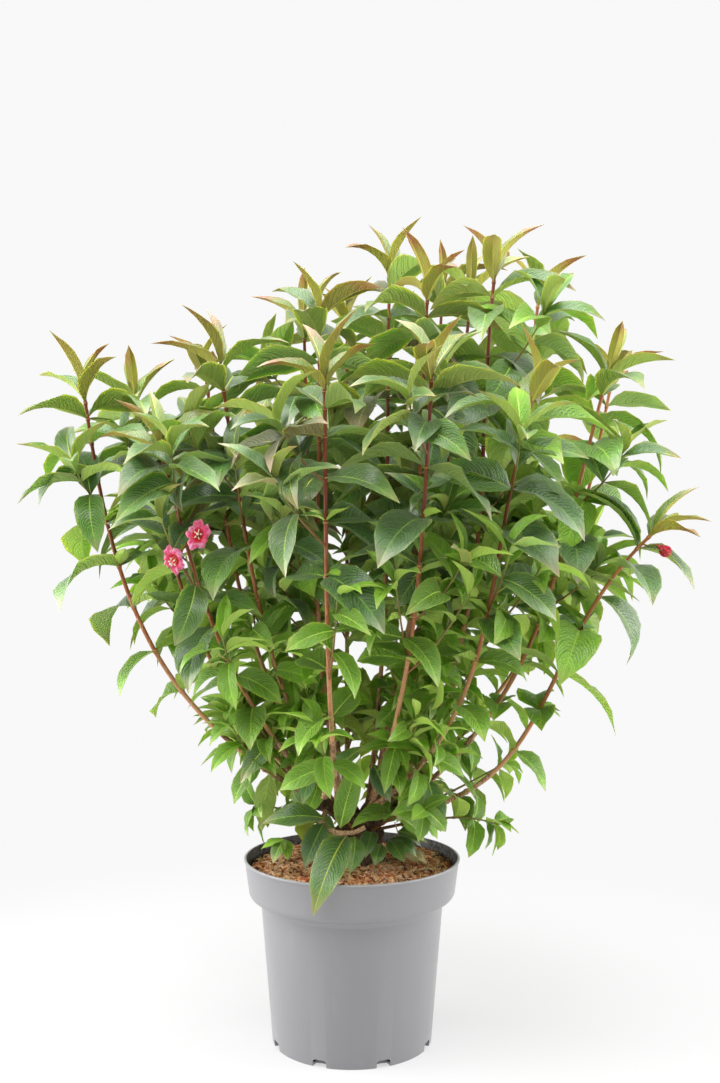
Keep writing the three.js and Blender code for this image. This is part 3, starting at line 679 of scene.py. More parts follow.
# Each cane: the old limb it grows from, the place along that limb, its tip in millimetres,
# the angles above level at which it leaves the limb and ends, and its side twigs.
CANES = [
    (0, 1.00, (391, 120, 938), 36, 78, 1),
    (0, 0.76, (300, 285, 850), 42, 70, 1),
    (0, 0.50, (288, 165, 1076), 66, 82, 0),
    (0, 0.26, (178, 105, 1075), 80, 84, 0),
    (1, 1.00, (130, 330, 930), 42, 74, 1),
    (1, 0.75, (143, 218, 1106), 55, 84, 0),
    (1, 0.50, (55, 70, 1098), 80, 88, 0),
    (2, 1.00, (-150, 290, 900), 40, 74, 1),
    (2, 0.75, (-10, 270, 1048), 52, 82, 0),
    (2, 0.50, (-75, 140, 1042), 66, 86, 0),
    (3, 1.00, (-290, 224, 812), 36, 70, 1),
    (3, 0.78, (-320, 60, 910), 42, 76, 0),
    (3, 0.55, (-227, 150, 962), 52, 80, 0),
    (4, 1.00, (-366, -60, 902), 29, 82, 0),
    (4, 0.78, (-247, -150, 820), 46, 74, 1),
    (4, 0.55, (-175, -110, 934), 60, 80, 1),
    (5, 1.00, (-32, -245, 896), 44, 84, 0),
    (5, 0.60, (-46, -50, 1014), 76, 88, 0),
    (6, 1.00, (231, -185, 886), 36, 72, 1),
    (6, 0.78, (99, -245, 908), 50, 82, 0),
    (6, 0.55, (104, -60, 1040), 72, 86, 0),
    (7, 1.00, (413, -70, 715), 8, 42, 0),
    (7, 0.78, (358, -26, 936), 38, 74, 1),
    (7, 0.55, (201, -10, 1078), 58, 84, 0),
]


def metres(millimetres):
    return Vector(millimetres) * 0.001


def numbered(kind, count):
    """The names of the nodes of one kind, counted from 01."""
    return [f"{kind}_{n + 1:02d}" for n in range(count)]


def stem_line(path, start, end, thick, thin, joints, step=0.012):
    """A stem's centre line from share to share, with a swollen ring at each joint's share."""
    count = max(3, round(path.length * (end - start) / step))
    places = set(np.linspace(start, end, count + 1).tolist())
    for joint in joints:
        places.update(joint + offset * RING_WIDE / path.length for offset in (-1, -0.4, 0, 0.4, 1))
    line = []
    for place in sorted(p for p in places if start <= p <= end):
        near = min((abs(place - joint) * path.length / RING_WIDE for joint in joints), default=9)
        share = (place - start) / (end - start)
        radius = (thick + (thin - thick) * share) * (1 + RING_SWELL * max(0, 1 - near) ** 0.5)
        line.append((path.point(place), radius))
    return line


canes = [
    Path(limb_path(limb).point(at), metres(tip), leave, arrive, CANE_HANDLE)
    for limb, at, tip, leave, arrive, _ in CANES
]
bough_lines = []
row = seeded_row(31)
for path in canes:
    joints = [(BOUGH_INTERNODE * k + 0.02 * row()) / path.length for k in range(1, BOUGH_JOINTS + 1)]
    line = stem_line(path, 0, BARE_SHARE, CANE_FOOT_RADIUS, CANE_NECK_RADIUS, joints, 0.004)
    heel = [1 + HEEL_SWELL * max(0, 1 - n / HEEL_STEPS) for n in range(len(line))]
    bough_lines.append([(point, radius * swell) for (point, radius), swell in zip(line, heel)])

bough_bark = Finish("bough_bark", roughness=0.7)
strings = bough_bark.grain(420, 5, (1, 1, 0.12), 0.65)
straw = bough_bark.mixed(colour(140, 94, 66), colour(224, 180, 140), strings.between(0.35, 0.65))
stained = 0.7 * bough_bark.grain(45, 3).between(0.48, 0.68)
bough_bark.paint(base_color=bough_bark.mixed(straw, colour(112, 62, 42), stained)).relief(strings, 0.0014)
bough_mesh = barked(tubes("bare_boughs", bough_lines, 4), 0.00035, 40)
piece("bare_boughs", bough_mesh, [bough_bark], numbered("bough", len(CANES)), crease=60)

# ---- Leafy stems -------------------------------------------------------------------------
# Last summer's growth: smooth glossy stems, tan at the foot, maroon higher up and soft green
# at the very tip, with side twigs and, low down, a few short shoots from the stool itself.

TWIG_FOOT_RADIUS = 0.0017
TWIG_TIP_RADIUS = 0.0009
SHOOT_FOOT_RADIUS = 0.0026
SHOOT_TIP_RADIUS = 0.0010
INTERNODE = 0.062
SHOOT_INTERNODE = 0.034
SHOOT_START = 0.012  # how far from the stool's axis a low shoot starts

# The first pairs of leaves on each kind of stem: how far back from its tip.
CANE_TIP_PAIRS = [0, 0.012, 0.034, 0.068]
TWIG_TIP_PAIRS = [0, 0.008, 0.024, 0.048]
SHOOT_TIP_PAIRS = [0, 0.006, 0.018, 0.036]

# Each low shoot: its bearing and height on the stool, its tip in millimetres, and the
# angles above level at which it leaves and ends.
SHOOTS = [
    (348, 0.290, (205, -22, 305), 12, -18),
    (20, 0.296, (228, 64, 378), 14, 26),
    (66, 0.288, (92, 148, 345), 20, 12),
    (128, 0.290, (-104, 128, 348), 18, 10),
    (196, 0.288, (-132, -40, 336), 16, 6),
    (262, 0.286, (-22, -134, 332), 26, -14),
    (310, 0.288, (98, -112, 344), 24, 4),
]


def twig_path(path, along, row, reach=1.0):
    """The line of a side twig, out on the side of a cane that faces away from the stool."""
    swing = math.radians(-60 + 120 * row())
    start = path.point(along)
    run = path.tangent(along).xy.to_3d().normalized()
    out = run * math.cos(swing) + path.across * math.sin(swing)
    end = start + out * (0.062 + 0.030 * row()) * reach + UP * (0.066 + 0.034 * row()) * reach
    return Path(start, end, 38, 62, 0.35)


def pair_places(reach, internode, crowded, row):
    """The distances back from a tip at which a stem bears a pair of leaves."""
    places = [back for back in crowded if back < reach]
    back = crowded[-1] + internode * 0.8
    while back < reach:
        places.append(back)
        back += internode * (0.88 + 0.24 * row())
    return places


def smoothstep(value, low, high):
    """An eased step from 0 at low to 1 at high."""
    share = min(1, max(0, (value - low) / (high - low)))
    return share * share * (3 - 2 * share)


def cane_leaf(back, low):
    """The build of a leaf at a distance back from a cane's tip, `low` of the way down it.

    The length and the age are in metres, the slimness is the width as a share of the length,
    the lift, fold and bend are in degrees, and sag and low go from 0 to 1.
    """
    young = math.exp(-back / 0.030)
    grown = 1 - young
    foot = smoothstep(low, 0.45, 1)
    return {
        "length": (0.094 + 0.038 * grown) * (1 - 0.44 * foot),
        "slim": 0.26 + 0.21 * grown + 0.07 * foot,
        "lift": 14 + 54 * young + 6 * foot,
        "sag": 0.34 * grown * (1 - 0.3 * foot),
        "fold": 54 - 34 * grown,
        "bend": 26 + 20 * grown - 12 * foot,
        "age": back,
        "low": foot,
    }


def twig_leaf(back, low):
    """The build of a side twig's leaf: older and smaller than a cane's."""
    size = cane_leaf(back + 0.008, low * 0.4)
    return {**size, "length": size["length"] * 0.84}


def tuft_leaf(back):
    """The build of a small leaf that sits in the joint of an older pair."""
    size = cane_leaf(0.03 + back, 0.7)
    return {**size, "length": 0.030 + 0.5 * back, "lift": 40, "bend": 26, "age": 0.12}


def shoot_leaf(back, _):
    """The build of a low shoot's leaf: short and broad."""
    grown = min(1, back / 0.050)
    return {
        "length": 0.070 * (0.66 + 0.34 * grown), "slim": 0.54, "lift": 30 - 22 * grown, "sag": 0.42,
        "fold": 20, "bend": 28, "age": 0.06 + back, "low": 1,
    }


def leaf_on(path, along, turn, size, row):
    """A leaf's root, the way it points, the way its face looks, and its build."""
    tangent = path.tangent(along)
    across = path.across
    outward = across.cross(tangent)
    angle = math.radians(turn + 30 * (row() - 0.5))
    lift = math.radians(size["lift"] + 16 * (row() - 0.5))
    length = size["length"] * (1 + 0.24 * (row() - 0.5))
    level_way = across * math.cos(angle) + outward * math.sin(angle)
    heading = level_way * math.cos(lift) + tangent * math.sin(lift)
    heading = (heading - UP * size["sag"] * (0.25 + row())).normalized()
    face = tangent * 0.55 + UP * 0.45
    face = (face - heading * face.dot(heading)).normalized()
    face.rotate(Quaternion(heading, math.radians(70) * (row() - 0.5)))
    return {**size, "root": path.point(along), "heading": heading, "face": face, "length": length}


def leaves_on(path, build, internode, tip_pairs, turn, row, start=0, bare=0.016, inset=0.001):
    """The pairs of leaves along a stem, tip pair first, each pair crosswise to the last.

    The stem is bare for a length at its foot, and its tip pair sits a little back from its end.
    """
    reach = path.length * (1 - start) - bare
    leaves, joints = [], []
    for pair, back in enumerate(pair_places(reach, internode, tip_pairs, row)):
        along = 1 - max(back, inset) / path.length
        joints.append(along)
        for side in range(2):
            leaves.append(leaf_on(path, along, turn + 90 * pair + 180 * side, build(back, back / reach), row))
    return leaves, joints


# The side growth of a cane, from its foot up: where it may start, as a share of the cane,
# how many shoots, how far they reach beside the twigs' own, and the spacing of their leaves.
SIDE_GROWTH = [
    (0.06, 0.24, 3, 0.70, 0.030),
    (0.26, 0.46, 2, 1.05, 0.042),
    (0.46, 0.68, 1, 0.95, 0.046),
    (0.68, 0.84, 1, 0.85, 0.048),
]

# How far out a side shoot may end, at some heights: the crown is a narrow vase at its foot,
# where the outer canes run bare.
CROWN_HEIGHTS = [0.36, 0.46, 0.56, 0.66, 0.80]
CROWN_REACHES = [0.15, 0.185, 0.24, 0.31, 0.40]

FRONT_LIMBS = (4, 5, 6)  # their canes turn their pairs of leaves aslant and show their stems
SLANT = 45
FRONT_SHOOT = 5  # its leaves are placed one by one, with those round the foot
TUFTS_FROM = 5  # the first pair of leaves, counted from a cane's tip, that may have a tuft
TUFT_SHARE = 0.45  # how many of the older leaves have one
TUFT_LEAVES = 4

# The pale collar that a pair of leaf stalks leaves round a stem: how far along the stem in
# metres, and how much thicker than the stem.
LEAF_COLLAR = [(-0.0036, 0.9), (-0.0018, 1.2), (0.0, 1.36), (0.0018, 1.2), (0.0030, 0.9)]

cane_nodes = numbered("foliage", len(CANES))
low_nodes = numbered("low_foliage", len(SHOOTS))
masses = {}
stem_lines = []
twig_lines = []
collar_lines = []
for index, (node, path) in enumerate(zip(cane_nodes, canes)):
    limb, twig_count = CANES[index][0], CANES[index][5]
    row = seeded_row(index + 1)
    turn = 360 * row()
    if limb in FRONT_LIMBS:
        turn = SLANT
    leaves, joints = leaves_on(
        path, cane_leaf, INTERNODE, CANE_TIP_PAIRS, turn, row, start=BARE_SHARE, inset=0.002,
    )
    stem_lines.append(stem_line(path, BARE_SHARE - 0.01, 1, CANE_NECK_RADIUS, CANE_TIP_RADIUS, joints))
    for joint in joints:
        share = (joint - BARE_SHARE) / (1 - BARE_SHARE)
        thick = CANE_NECK_RADIUS + (CANE_TIP_RADIUS - CANE_NECK_RADIUS) * share
        collar_lines.append([
            (path.point(joint + offset / path.length), thick * swell) for offset, swell in LEAF_COLLAR
        ])
    extra = seeded_row(201 + index)
    twigs = [(twig_path(path, 0.5 + 0.22 * row(), row), row, 0.044) for _ in range(twig_count)]
    for low, high, count, reach, spacing in SIDE_GROWTH:
        for n in range(count):
            along = low + (high - low) * extra()
            shoot = twig_path(path, along, extra, reach * (0.7 + 0.6 * extra()))
            end = shoot.point(1)
            if end.xy.length < np.interp(end.z, CROWN_HEIGHTS, CROWN_REACHES):
                twigs.append((shoot, extra, spacing))
    for twig, source, spacing in twigs:
        more, twig_joints = leaves_on(twig, twig_leaf, spacing, TWIG_TIP_PAIRS, 360 * source(), source)
        low = smoothstep(twig.point(0).z, 0.75, 0.42)
        for leaf in more:
            leaf["low"] = low
            leaf["age"] += 0.020 + 0.05 * low
            leaf["length"] *= 1 - 0.36 * low
        leaves += more
        twig_lines.append(stem_line(twig, 0, 1, TWIG_FOOT_RADIUS, TWIG_TIP_RADIUS, twig_joints))
    for joint in joints[TUFTS_FROM:-1]:
        for side in range(2):
            if extra() < TUFT_SHARE:
                for n in range(TUFT_LEAVES):
                    turn = 360 * extra()
                    leaves.append(leaf_on(path, joint + 0.002, turn, tuft_leaf(0.02 * extra()), extra))
    masses[node] = leaves
for index, (node, (bearing, foot, tip, leave, arrive)) in enumerate(zip(low_nodes, SHOOTS)):
    row = seeded_row(101 + index)
    start = STOOL_PLACE + UP * foot + level(bearing) * SHOOT_START
    path = Path(start, metres(tip), leave, arrive, 0.35)
    turn = 90 * row()
    leaves, joints = leaves_on(path, shoot_leaf, SHOOT_INTERNODE, SHOOT_TIP_PAIRS, turn, row, bare=0.044)
    twig_lines.append(stem_line(path, 0, 1, SHOOT_FOOT_RADIUS, SHOOT_TIP_RADIUS, joints))
    masses[node] = [] if index == FRONT_SHOOT else leaves

cane_bark = Finish("cane_bark", coat_weight=0.06, coat_roughness=0.3, specular_ior_level=0.35)
up_the_cane = cane_bark.part(cane_bark.node("UVMap"), 0)
toward_lit_right = cane_bark.part(cane_bark.place(), 0)
streaked = 0.5 * cane_bark.grain(500, 3, (1, 1, 0.06)).between(0.5, 0.7)
reddening = up_the_cane + 0.3 * (cane_bark.grain(160, 4, (1, 1, 0.3)) - 0.5)
skin = cane_bark.mixed(colour(206, 152, 110), colour(174, 100, 62), up_the_cane.between(0.0, 0.32))
skin = cane_bark.mixed(skin, colour(226, 186, 140), streaked)
skin = cane_bark.mixed(skin, colour(126, 56, 22), reddening.between(0.30, 0.62))
# Painted light: canes at the right of the plant, where it is lit, are painted a lighter orange-brown.
skin = cane_bark.mixed(skin, colour(196, 128, 74), 0.8 * toward_lit_right.between(0.17, 0.36))
cane_bark.paint(
    base_color=cane_bark.mixed(skin, colour(138, 128, 62), up_the_cane.between(0.92, 1.0)),
    roughness=up_the_cane.between(0.0, 0.5, 0.58, 0.42),
).relief(cane_bark.grain(700, 3, (1, 1, 0.1)), 0.0004)
piece("leafy_canes", tubes("leafy_canes", stem_lines), [cane_bark], cane_nodes, crease=60)

collar_finish = Finish("leaf_collar", roughness=0.5)
collar_finish.mottle(colour(198, 190, 110), colour(176, 128, 76), collar_finish.grain(220, 3), 0.42, 0.6)
collar_mesh = tubes("leaf_collars", collar_lines)
piece("leaf_collars", collar_mesh, [collar_finish], cane_nodes, crease=60)

twig_bark = Finish("twig_bark", roughness=0.42)
up_the_twig = twig_bark.part(twig_bark.node("UVMap"), 0)
twig_bark.mottle(colour(134, 92, 52), colour(132, 138, 62), up_the_twig, 0.1, 0.8)
twig_bark.relief(twig_bark.grain(800, 3), 0.0003)
twig_mesh = tubes("side_twigs", twig_lines)
piece("side_twigs", twig_mesh, [twig_bark], cane_nodes + low_nodes, crease=60)

# ---- Leaves ------------------------------------------------------------------------------
# Opposite pairs of long pointed leaves: thin blades folded up a little along the pale
# midrib, arched so that the tips hang, glossy and veined above, matt and paler beneath.
# Young ones at the tips are narrow, upright and bronze; those low down are short and fresh.

BLADE_ROWS = [0.0, 0.06, 0.15, 0.28, 0.43, 0.58, 0.73, 0.87, 1.0]
BLADE_OUTLINE = [0.05, 0.27, 0.68, 0.94, 1.0, 0.92, 0.70, 0.30, 0.01]
HALF_RIB = 0.030  # half the midrib's width on the pattern, as a share of the blade's
RIB_FOOT_WIDTH = 0.0018  # how wide a leaf's midrib is where it leaves the stem
RIB_TAPER = 0.8  # how much of that width is gone at the tip
RIB_WIDEST = 0.25  # as a share of half the blade's width
RIB_LIMIT = 0.1  # on the pattern, what is nearer to the middle than this is the midrib
RIB_SUNK = 0.6  # how high the midrib lies above, in thicknesses of the blade
RIB_PROUD = 2.4  # and how far it stands out below
MID_BLADE = 0.52  # the line of corners between the midrib and the edge
BLADE_THICK = 0.00035
ARCH_RISE = 0.35  # how far the root of a blade climbs above its heading, as a share of its bend
ARCH_DROP = 1.45  # how far the tip falls below it
WAVES = 1.7  # waves of the edge from root to tip


def grown_ring(bm, edges):
    """Extrudes a ring of edges, and gives the new ring's edges and corners."""
    grown = bmesh.ops.extrude_edge_only(bm, edges=edges)["geom"]
    corners = [item for item in grown if isinstance(item, bmesh.types.BMVert)]
    return [item for item in grown if isinstance(item, bmesh.types.BMEdge)], corners


def blade_pattern():
    """A flat closed blade: X across from -1 to 1, Y along from 0 to 1, Z over or under."""
    bm = bmesh.new()
    over = [(1, 0), (MID_BLADE, 1), (HALF_RIB, RIB_SUNK), (-HALF_RIB, RIB_SUNK), (-MID_BLADE, 1)]
    under = [(-1, 0), (-MID_BLADE, -1), (-HALF_RIB, -RIB_PROUD), (HALF_RIB, -RIB_PROUD), (MID_BLADE, -1)]
    ring = over + under
    bmesh.ops.create_circle(bm, segments=len(ring), radius=1, cap_ends=True)
    for corner, (across, through) in zip(bm.verts, ring):
        corner.co = (across, BLADE_ROWS[0], through)
    edges = list(bm.edges)
    for along in BLADE_ROWS[1:]:
        edges, corners = grown_ring(bm, edges)
        for corner in corners:
            corner.co.y = along
    bmesh.ops.holes_fill(bm, edges=edges, sides=len(ring))
    bmesh.ops.recalc_face_normals(bm, faces=bm.faces)
    return mesh_of(bm, "blade_pattern")


def blade_spots(spots, leaves):
    """Where every corner of the pattern lies on every leaf."""

    def number(key):
        return np.array([leaf[key] for leaf in leaves], float)[:, None]

    def vector(key):
        return np.array([leaf[key][:] for leaf in leaves], float)[:, None, :]

    across, along, through = spots.T
    heading, face, length = vector("heading"), vector("face"), number("length")
    side = np.cross(face, heading)

    # The midrib is an arc: it climbs at the root and falls at the tip.
    bend = np.radians(number("bend")) * number("droop")
    fall = bend * (ARCH_RISE + ARCH_DROP)
    slope = bend * ARCH_RISE - fall * along
    forward = (np.sin(bend * ARCH_RISE) - np.sin(slope)) / fall * length
    upward = (np.cos(slope) - np.cos(bend * ARCH_RISE)) / fall * length
    normal = face * np.cos(slope)[..., None] - heading * np.sin(slope)[..., None]

    # The blade twists about it towards the tip.
    twist = np.radians(number("twist")) * along
    turned_side = side * np.cos(twist)[..., None] + normal * np.sin(twist)[..., None]
    turned_normal = normal * np.cos(twist)[..., None] - side * np.sin(twist)[..., None]

    # Its halves fold up like a gull's wings, with a wavy edge, and curve a little to one side.
    half = length * number("slim") / 2 * np.interp(along, BLADE_ROWS, BLADE_OUTLINE)
    rib = np.minimum(RIB_WIDEST, RIB_FOOT_WIDTH / 2 * (1 - RIB_TAPER * along) / half)
    across = np.where(np.abs(across) < RIB_LIMIT, np.sign(across) * rib, across)
    out = np.abs(across)
    fold = np.radians(number("fold")) * (1 - 0.4 * along)
    gull = out * (1.75 - 0.75 * out)
    swing = 2 * np.pi * (WAVES * along + number("phase")) + 0.9 * np.sign(across)
    wave = number("wave") * out * np.sin(swing)
    thick = through * BLADE_THICK * np.minimum(1, 30 * half / length)
    rise = half * (np.sin(fold) * gull + wave) + thick
    sideways = half * across * np.cos(fold) + number("sickle") * length * along**2

    spots = vector("root") + heading * forward[..., None] + face * upward[..., None]
    return spots + turned_side * sideways[..., None] + turned_normal * rise[..., None]


# Each tint: the colours of its upper side, its midrib and its underside, how far a blush
# spreads over it from its tip and its edges, the colour of that blush, and its gloss.
RUST = colour(174, 98, 58)
MAUVE = colour(156, 120, 104)
TINTS = {
    "deep": (colour(66, 120, 16), colour(144, 178, 78), colour(156, 184, 96), 0.45, MAUVE, 0.8),
    "mid": (colour(94, 148, 16), colour(166, 198, 82), colour(168, 196, 92), 0.45, MAUVE, 0.8),
    "fresh": (colour(122, 172, 16), colour(178, 212, 84), colour(172, 206, 84), 0.3, MAUVE, 0.3),
    "olive": (colour(88, 140, 24), colour(206, 208, 90), colour(162, 178, 84), 0.55, RUST, 0.9),
    "bronze": (colour(126, 156, 34), colour(238, 226, 108), colour(170, 160, 70), 1.0, RUST, 0.9),
    "dusky": (colour(108, 118, 40), colour(196, 190, 108), colour(162, 152, 100), 0.6, MAUVE, 0.8),
    "dry": (colour(228, 206, 132), colour(222, 200, 136), colour(226, 204, 142), 0.5, MAUVE, 0.3),
}

# A full-grown leaf draws a number from 0 to 1, raised where the sun falls on the leaf, and
# takes the first tint whose mark is above it.
TINT_MARKS = [("dusky", 0.07), ("olive", 0.22), ("deep", 0.60), ("mid", 1.1), ("fresh", 2)]
SUN_ON_TINT = 0.4
SUN_ON_TONE = 0.42
BRONZE_AGE = 0.014  # the age of a leaf is how far back from a tip it grows, in metres
OLIVE_AGE = 0.036


def sunlit(leaf):
    """How much light a leaf gets: most at the right of the plant and some at its far left."""
    x = leaf["root"].x
    return max(smoothstep(x, 0.08, 0.32), 0.6 * smoothstep(-x, 0.14, 0.36))


def tint_of(leaf, row):
    """Which tint a leaf takes: its own, or else by its age and its place on the plant."""
    age = leaf["age"] * (0.7 + 0.6 * row())
    if "tint" in leaf:
        return leaf["tint"]
    if age < OLIVE_AGE:
        return "bronze" if age < BRONZE_AGE else "olive"
    if leaf["low"] > 0.2 + 0.5 * row():
        return "fresh"
    draw = row() + SUN_ON_TINT * sunlit(leaf)
    return next(tint for tint, mark in TINT_MARKS if draw < mark)


def shaded(paint, factor, lift=0.0):
    """A colour made lighter or darker."""
    return (*[min(1, c * factor + lift) for c in paint[:3]], 1)


def blade_finish(name, paint, blush, blush_paint, roughness, gloss, depth):
    """A leaf skin: side veins that sweep up to the edge and a net of small ones between."""
    skin = Finish(
        name, coat_weight=gloss, coat_roughness=0.36, sheen_weight=0.2 * gloss, sheen_roughness=0.5,
        subsurface_weight=0.42, subsurface_radius=(0.7, 1, 0.1), subsurface_scale=0.0015,
    )
    where = skin.node("UVMap")
    along = skin.part(where, 1)
    out = abs(skin.part(where, 0) - 0.5) * 2  # from 0 at the midrib to 1 at the edge
    tone = skin.attribute("tone")
    wide = skin.attribute("wide")

    veins = abs((along * 8 - out * (0.8 + 1.5 * out)) % 1 - 0.5) * 2
    vein = veins.between(0.8, 1.0)
    ripple = abs((along * 20 - out * (2.0 + 3.7 * out) + 0.9 * skin.grain(80, 2)) % 1 - 0.5) * 2
    cells = skin.node("Mapping", {}, {"Vector": where, "Scale": (16, 40, 1)})
    net = skin.node("TexVoronoi", {"feature": "DISTANCE_TO_EDGE"}, {"Vector": cells, "Scale": 1.0})
    broad = wide * wide * along.between(0.5, 0.92, 1, 0)  # a narrow blade has no room for relief

    # Painted light and shade: each leaf's tone turns its paint into a darker or a lighter copy, partly at
    # random and partly by how lit its place on the plant is.
    lightness = (tone + 0.25 * (skin.grain(30, 3) - 0.5)).clamped()
    toned = skin.mixed(shaded(paint, 0.72), shaded(paint, 1.56, 0.02), lightness)
    start = max(0.42, 0.9 - 0.6 * blush)
    reddened = (along.between(start, start + 0.45) + 0.6 * out.between(0.55, 1.0)).clamped() * blush
    flush = ((tone * 7.3) % 1).between(0.2, 0.8, 0.35, 1)  # more on one leaf than on another
    patchy = skin.grain(45, 2).between(0.25, 0.6, 0.5, 1)
    toned = skin.mixed(toned, blush_paint, reddened * flush * patchy)
    toned = skin.mixed(toned, MAUVE, along.between(0.72, 1.0) * (0.25 + 0.5 * blush))

    # Painted shade: the paint darkens in the wrinkles and along the net of small veins, the hollows of the
    # relief, more on glossy upper sides.
    wrinkle = ripple.between(0.4, 1.0) * out.between(0.04, 0.16) * out.between(0.45, 1.0, 1, 0.3)
    groove_shade = broad * (0.3 + 0.8 * gloss) * (wrinkle + 0.4 * net.between(0.0, 0.25, 1, 0))
    toned = skin.mixed(toned, shaded(paint, 0.34), groove_shade.clamped())
    pale = (0.26 + 0.1 * gloss) * vein + 0.35 * out.between(0.9, 1)
    skin.paint(
        base_color=skin.mixed(toned, shaded(paint, 2.2, 0.04), pale.clamped()),
        roughness=skin.grain(200, 2).between(0.3, 0.7, roughness - 0.06, roughness + 0.08),
    )
    height = 0.6 * net.between(0.0, 0.35) - 0.5 * (veins * veins) - 0.8 * vein - 0.5 * ripple
    return skin.relief(broad * height, depth)


TOP_RELIEF = 0.0048
UNDERSIDE_RELIEF = -0.0016  # what is sunk above stands out below
leaf_finishes = []
for tint, (top, rib, under, blush, blush_paint, gloss) in TINTS.items():
    leaf_finishes += [
        blade_finish(f"leaf_{tint}", top, blush, blush_paint, 0.4, gloss, TOP_RELIEF),
        Finish(f"midrib_{tint}", roughness=0.5, base_color=rib),
        blade_finish(f"underside_{tint}", under, blush, blush_paint, 0.65, 0.0, UNDERSIDE_RELIEF),
    ]


def from_outer_foot(face, spots):
    """A face's corners from its lowest outer one on, so that both skins split alike."""
    first = min(range(len(face)), key=lambda k: (spots[face[k]][1], -abs(spots[face[k]][0])))
    return face[first:] + face[:first]


FULL_RELIEF_WIDTH = 0.042  # how wide a leaf with the full depth of relief is


def foliage_mesh(name, leaves, row):
    """One mesh of every leaf, with its tint, its tone and its blade's own UV map."""
    pattern = blade_pattern()
    spots = corner_spots(pattern)
    faces = [from_outer_foot(list(face.vertices), spots) for face in pattern.polygons]
    middles = np.array([np.mean(spots[face], axis=0) for face in faces])
    skins = np.where(np.abs(middles[:, 0]) < RIB_LIMIT, 1, np.where(middles[:, 2] < 0, 2, 0))
    for leaf in leaves:
        leaf["droop"] = 0.65 + 0.7 * row()
        leaf["twist"] = 44 * (row() - 0.5)
        leaf["wave"] = 0.05 + 0.16 * row()
        leaf["phase"] = row()
        leaf["sickle"] = 0.12 * (row() - 0.5)
    tints = [list(TINTS).index(tint_of(leaf, row)) for leaf in leaves]
    # A leaf's tone is partly its own, at random, and partly painted light, raised where the plant is lit.
    tones = [0.15 + 0.7 * row() + SUN_ON_TONE * sunlit(leaf) for leaf in leaves]
    widths = [min(1, leaf["length"] * leaf["slim"] / FULL_RELIEF_WIDTH) for leaf in leaves]

    mesh = copied(name, blade_spots(spots, leaves), faces)
    slots = np.concatenate([3 * tint + skins for tint in tints])
    mesh.polygons.foreach_set("material_index", slots.astype(np.int32))
    loops = np.concatenate(faces)
    blade = np.c_[(spots[loops, 0] + 1) / 2, spots[loops, 1]]
    mesh.uv_layers.new(name="UVMap").data.foreach_set("uv", np.tile(blade, (len(leaves), 1)).ravel())
    for attribute, values in (("tone", tones), ("wide", widths)):
        layer = mesh.attributes.new(attribute, "FLOAT", "POINT")
        layer.data.foreach_set("value", np.repeat(values, len(spots)))
    return mesh


# Each open flower: the middle of its mouth in millimetres, and the way it looks. No leaf
# comes nearer than this to its line of sight.
FLOWERS = [((-194, -184, 709), (0.06, -0.97, 0.16)), ((-224, -186, 678), (-0.32, -0.80, -0.50))]
FLOWER_ROOM = 0.034
BEHIND_FLOWER = 0.012

# The box that the leaves reach to before they bend. A leaf is shortened in steps until it
# fits, or left out, and no tip hangs into the pot.
CROWN_LOW = Vector((-0.452, -0.338, 0.2))
CROWN_HIGH = Vector((0.484, 0.424, 1.185))
SHORTENING = 0.94
SHORTEST_LEAF = 0.04
TIP_SAG = 0.3  # about how far a tip hangs, as a share of the leaf's length

# The canes that show their stems to someone who stands here: the outer part of a leaf that
# hangs before the middle stretch of one, over more than a part of its width, is in the way.
EYE_HEIGHT = 0.701
EYE_DISTANCE = 1.751
EYE_SIDE = 0.0113
SHOWN_CANES = (13, 14, 15, 16, 18, 19)
SHOWN_STRETCH = slice(50, 164)
IN_THE_WAY = 0.66
LEAF_SAG = 0.25  # what such a leaf is taken to sag at its tip, as a share of its length
CLEARLY_BEFORE = 0.004


def seen(spots):
    """How far across and up some spots look from the eye's place, and how far away they are."""
    away = spots[:, 1] + EYE_DISTANCE
    return (spots[:, 0] - EYE_SIDE) / away, (spots[:, 2] - EYE_HEIGHT) / away, away


shown_stems = [seen(canes[n].points[SHOWN_STRETCH]) for n in SHOWN_CANES]


def hides_a_stem(leaf):
    """True where the outer part of a leaf hangs before one of the shown stems."""
    along = np.array([[0.4], [0.6], [0.8]])
    reach = np.array(leaf["heading"]) * along - np.array(UP) * LEAF_SAG * along**2
    across, up, away = seen(np.array(leaf["root"]) + leaf["length"] * reach)
    half = leaf["length"] * leaf["slim"] / 2 * np.interp(along[:, 0], BLADE_ROWS, BLADE_OUTLINE)
    for stem_across, stem_up, stem_away in shown_stems:
        aside = np.abs(across - np.interp(up, stem_up, stem_across)) * away
        before = away < np.interp(up, stem_up, stem_away) - CLEARLY_BEFORE
        if np.any((up > stem_up[0]) & (up < stem_up[-1]) & before & (aside < IN_THE_WAY * half)):
            return True
    return False


def stands_clear(leaf):
    """True where a leaf, kept within the crown's reach, stays out of the pot and off the flowers."""
    tip = leaf["root"] + leaf["heading"] * leaf["length"]
    while any(not low < along < high for low, along, high in zip(CROWN_LOW, tip, CROWN_HIGH)):
        leaf["length"] *= SHORTENING
        tip = leaf["root"] + leaf["heading"] * leaf["length"]
        if leaf["length"] < SHORTEST_LEAF:
            return False
    tip -= UP * leaf["length"] * TIP_SAG
    if tip.xy.length < RIM_RADIUS + 0.01 and tip.z < POT_HEIGHT + 0.002:
        return False
    for mouth, way in FLOWERS:
        sight = Vector(way).normalized()
        for share in (0.0, 0.35, 0.7, 1.0):
            spot = leaf["root"].lerp(tip, share) - metres(mouth)
            ahead = spot.dot(sight)
            if ahead > -BEHIND_FLOWER and (spot - sight * ahead).length < FLOWER_ROOM:
                return False
    return True


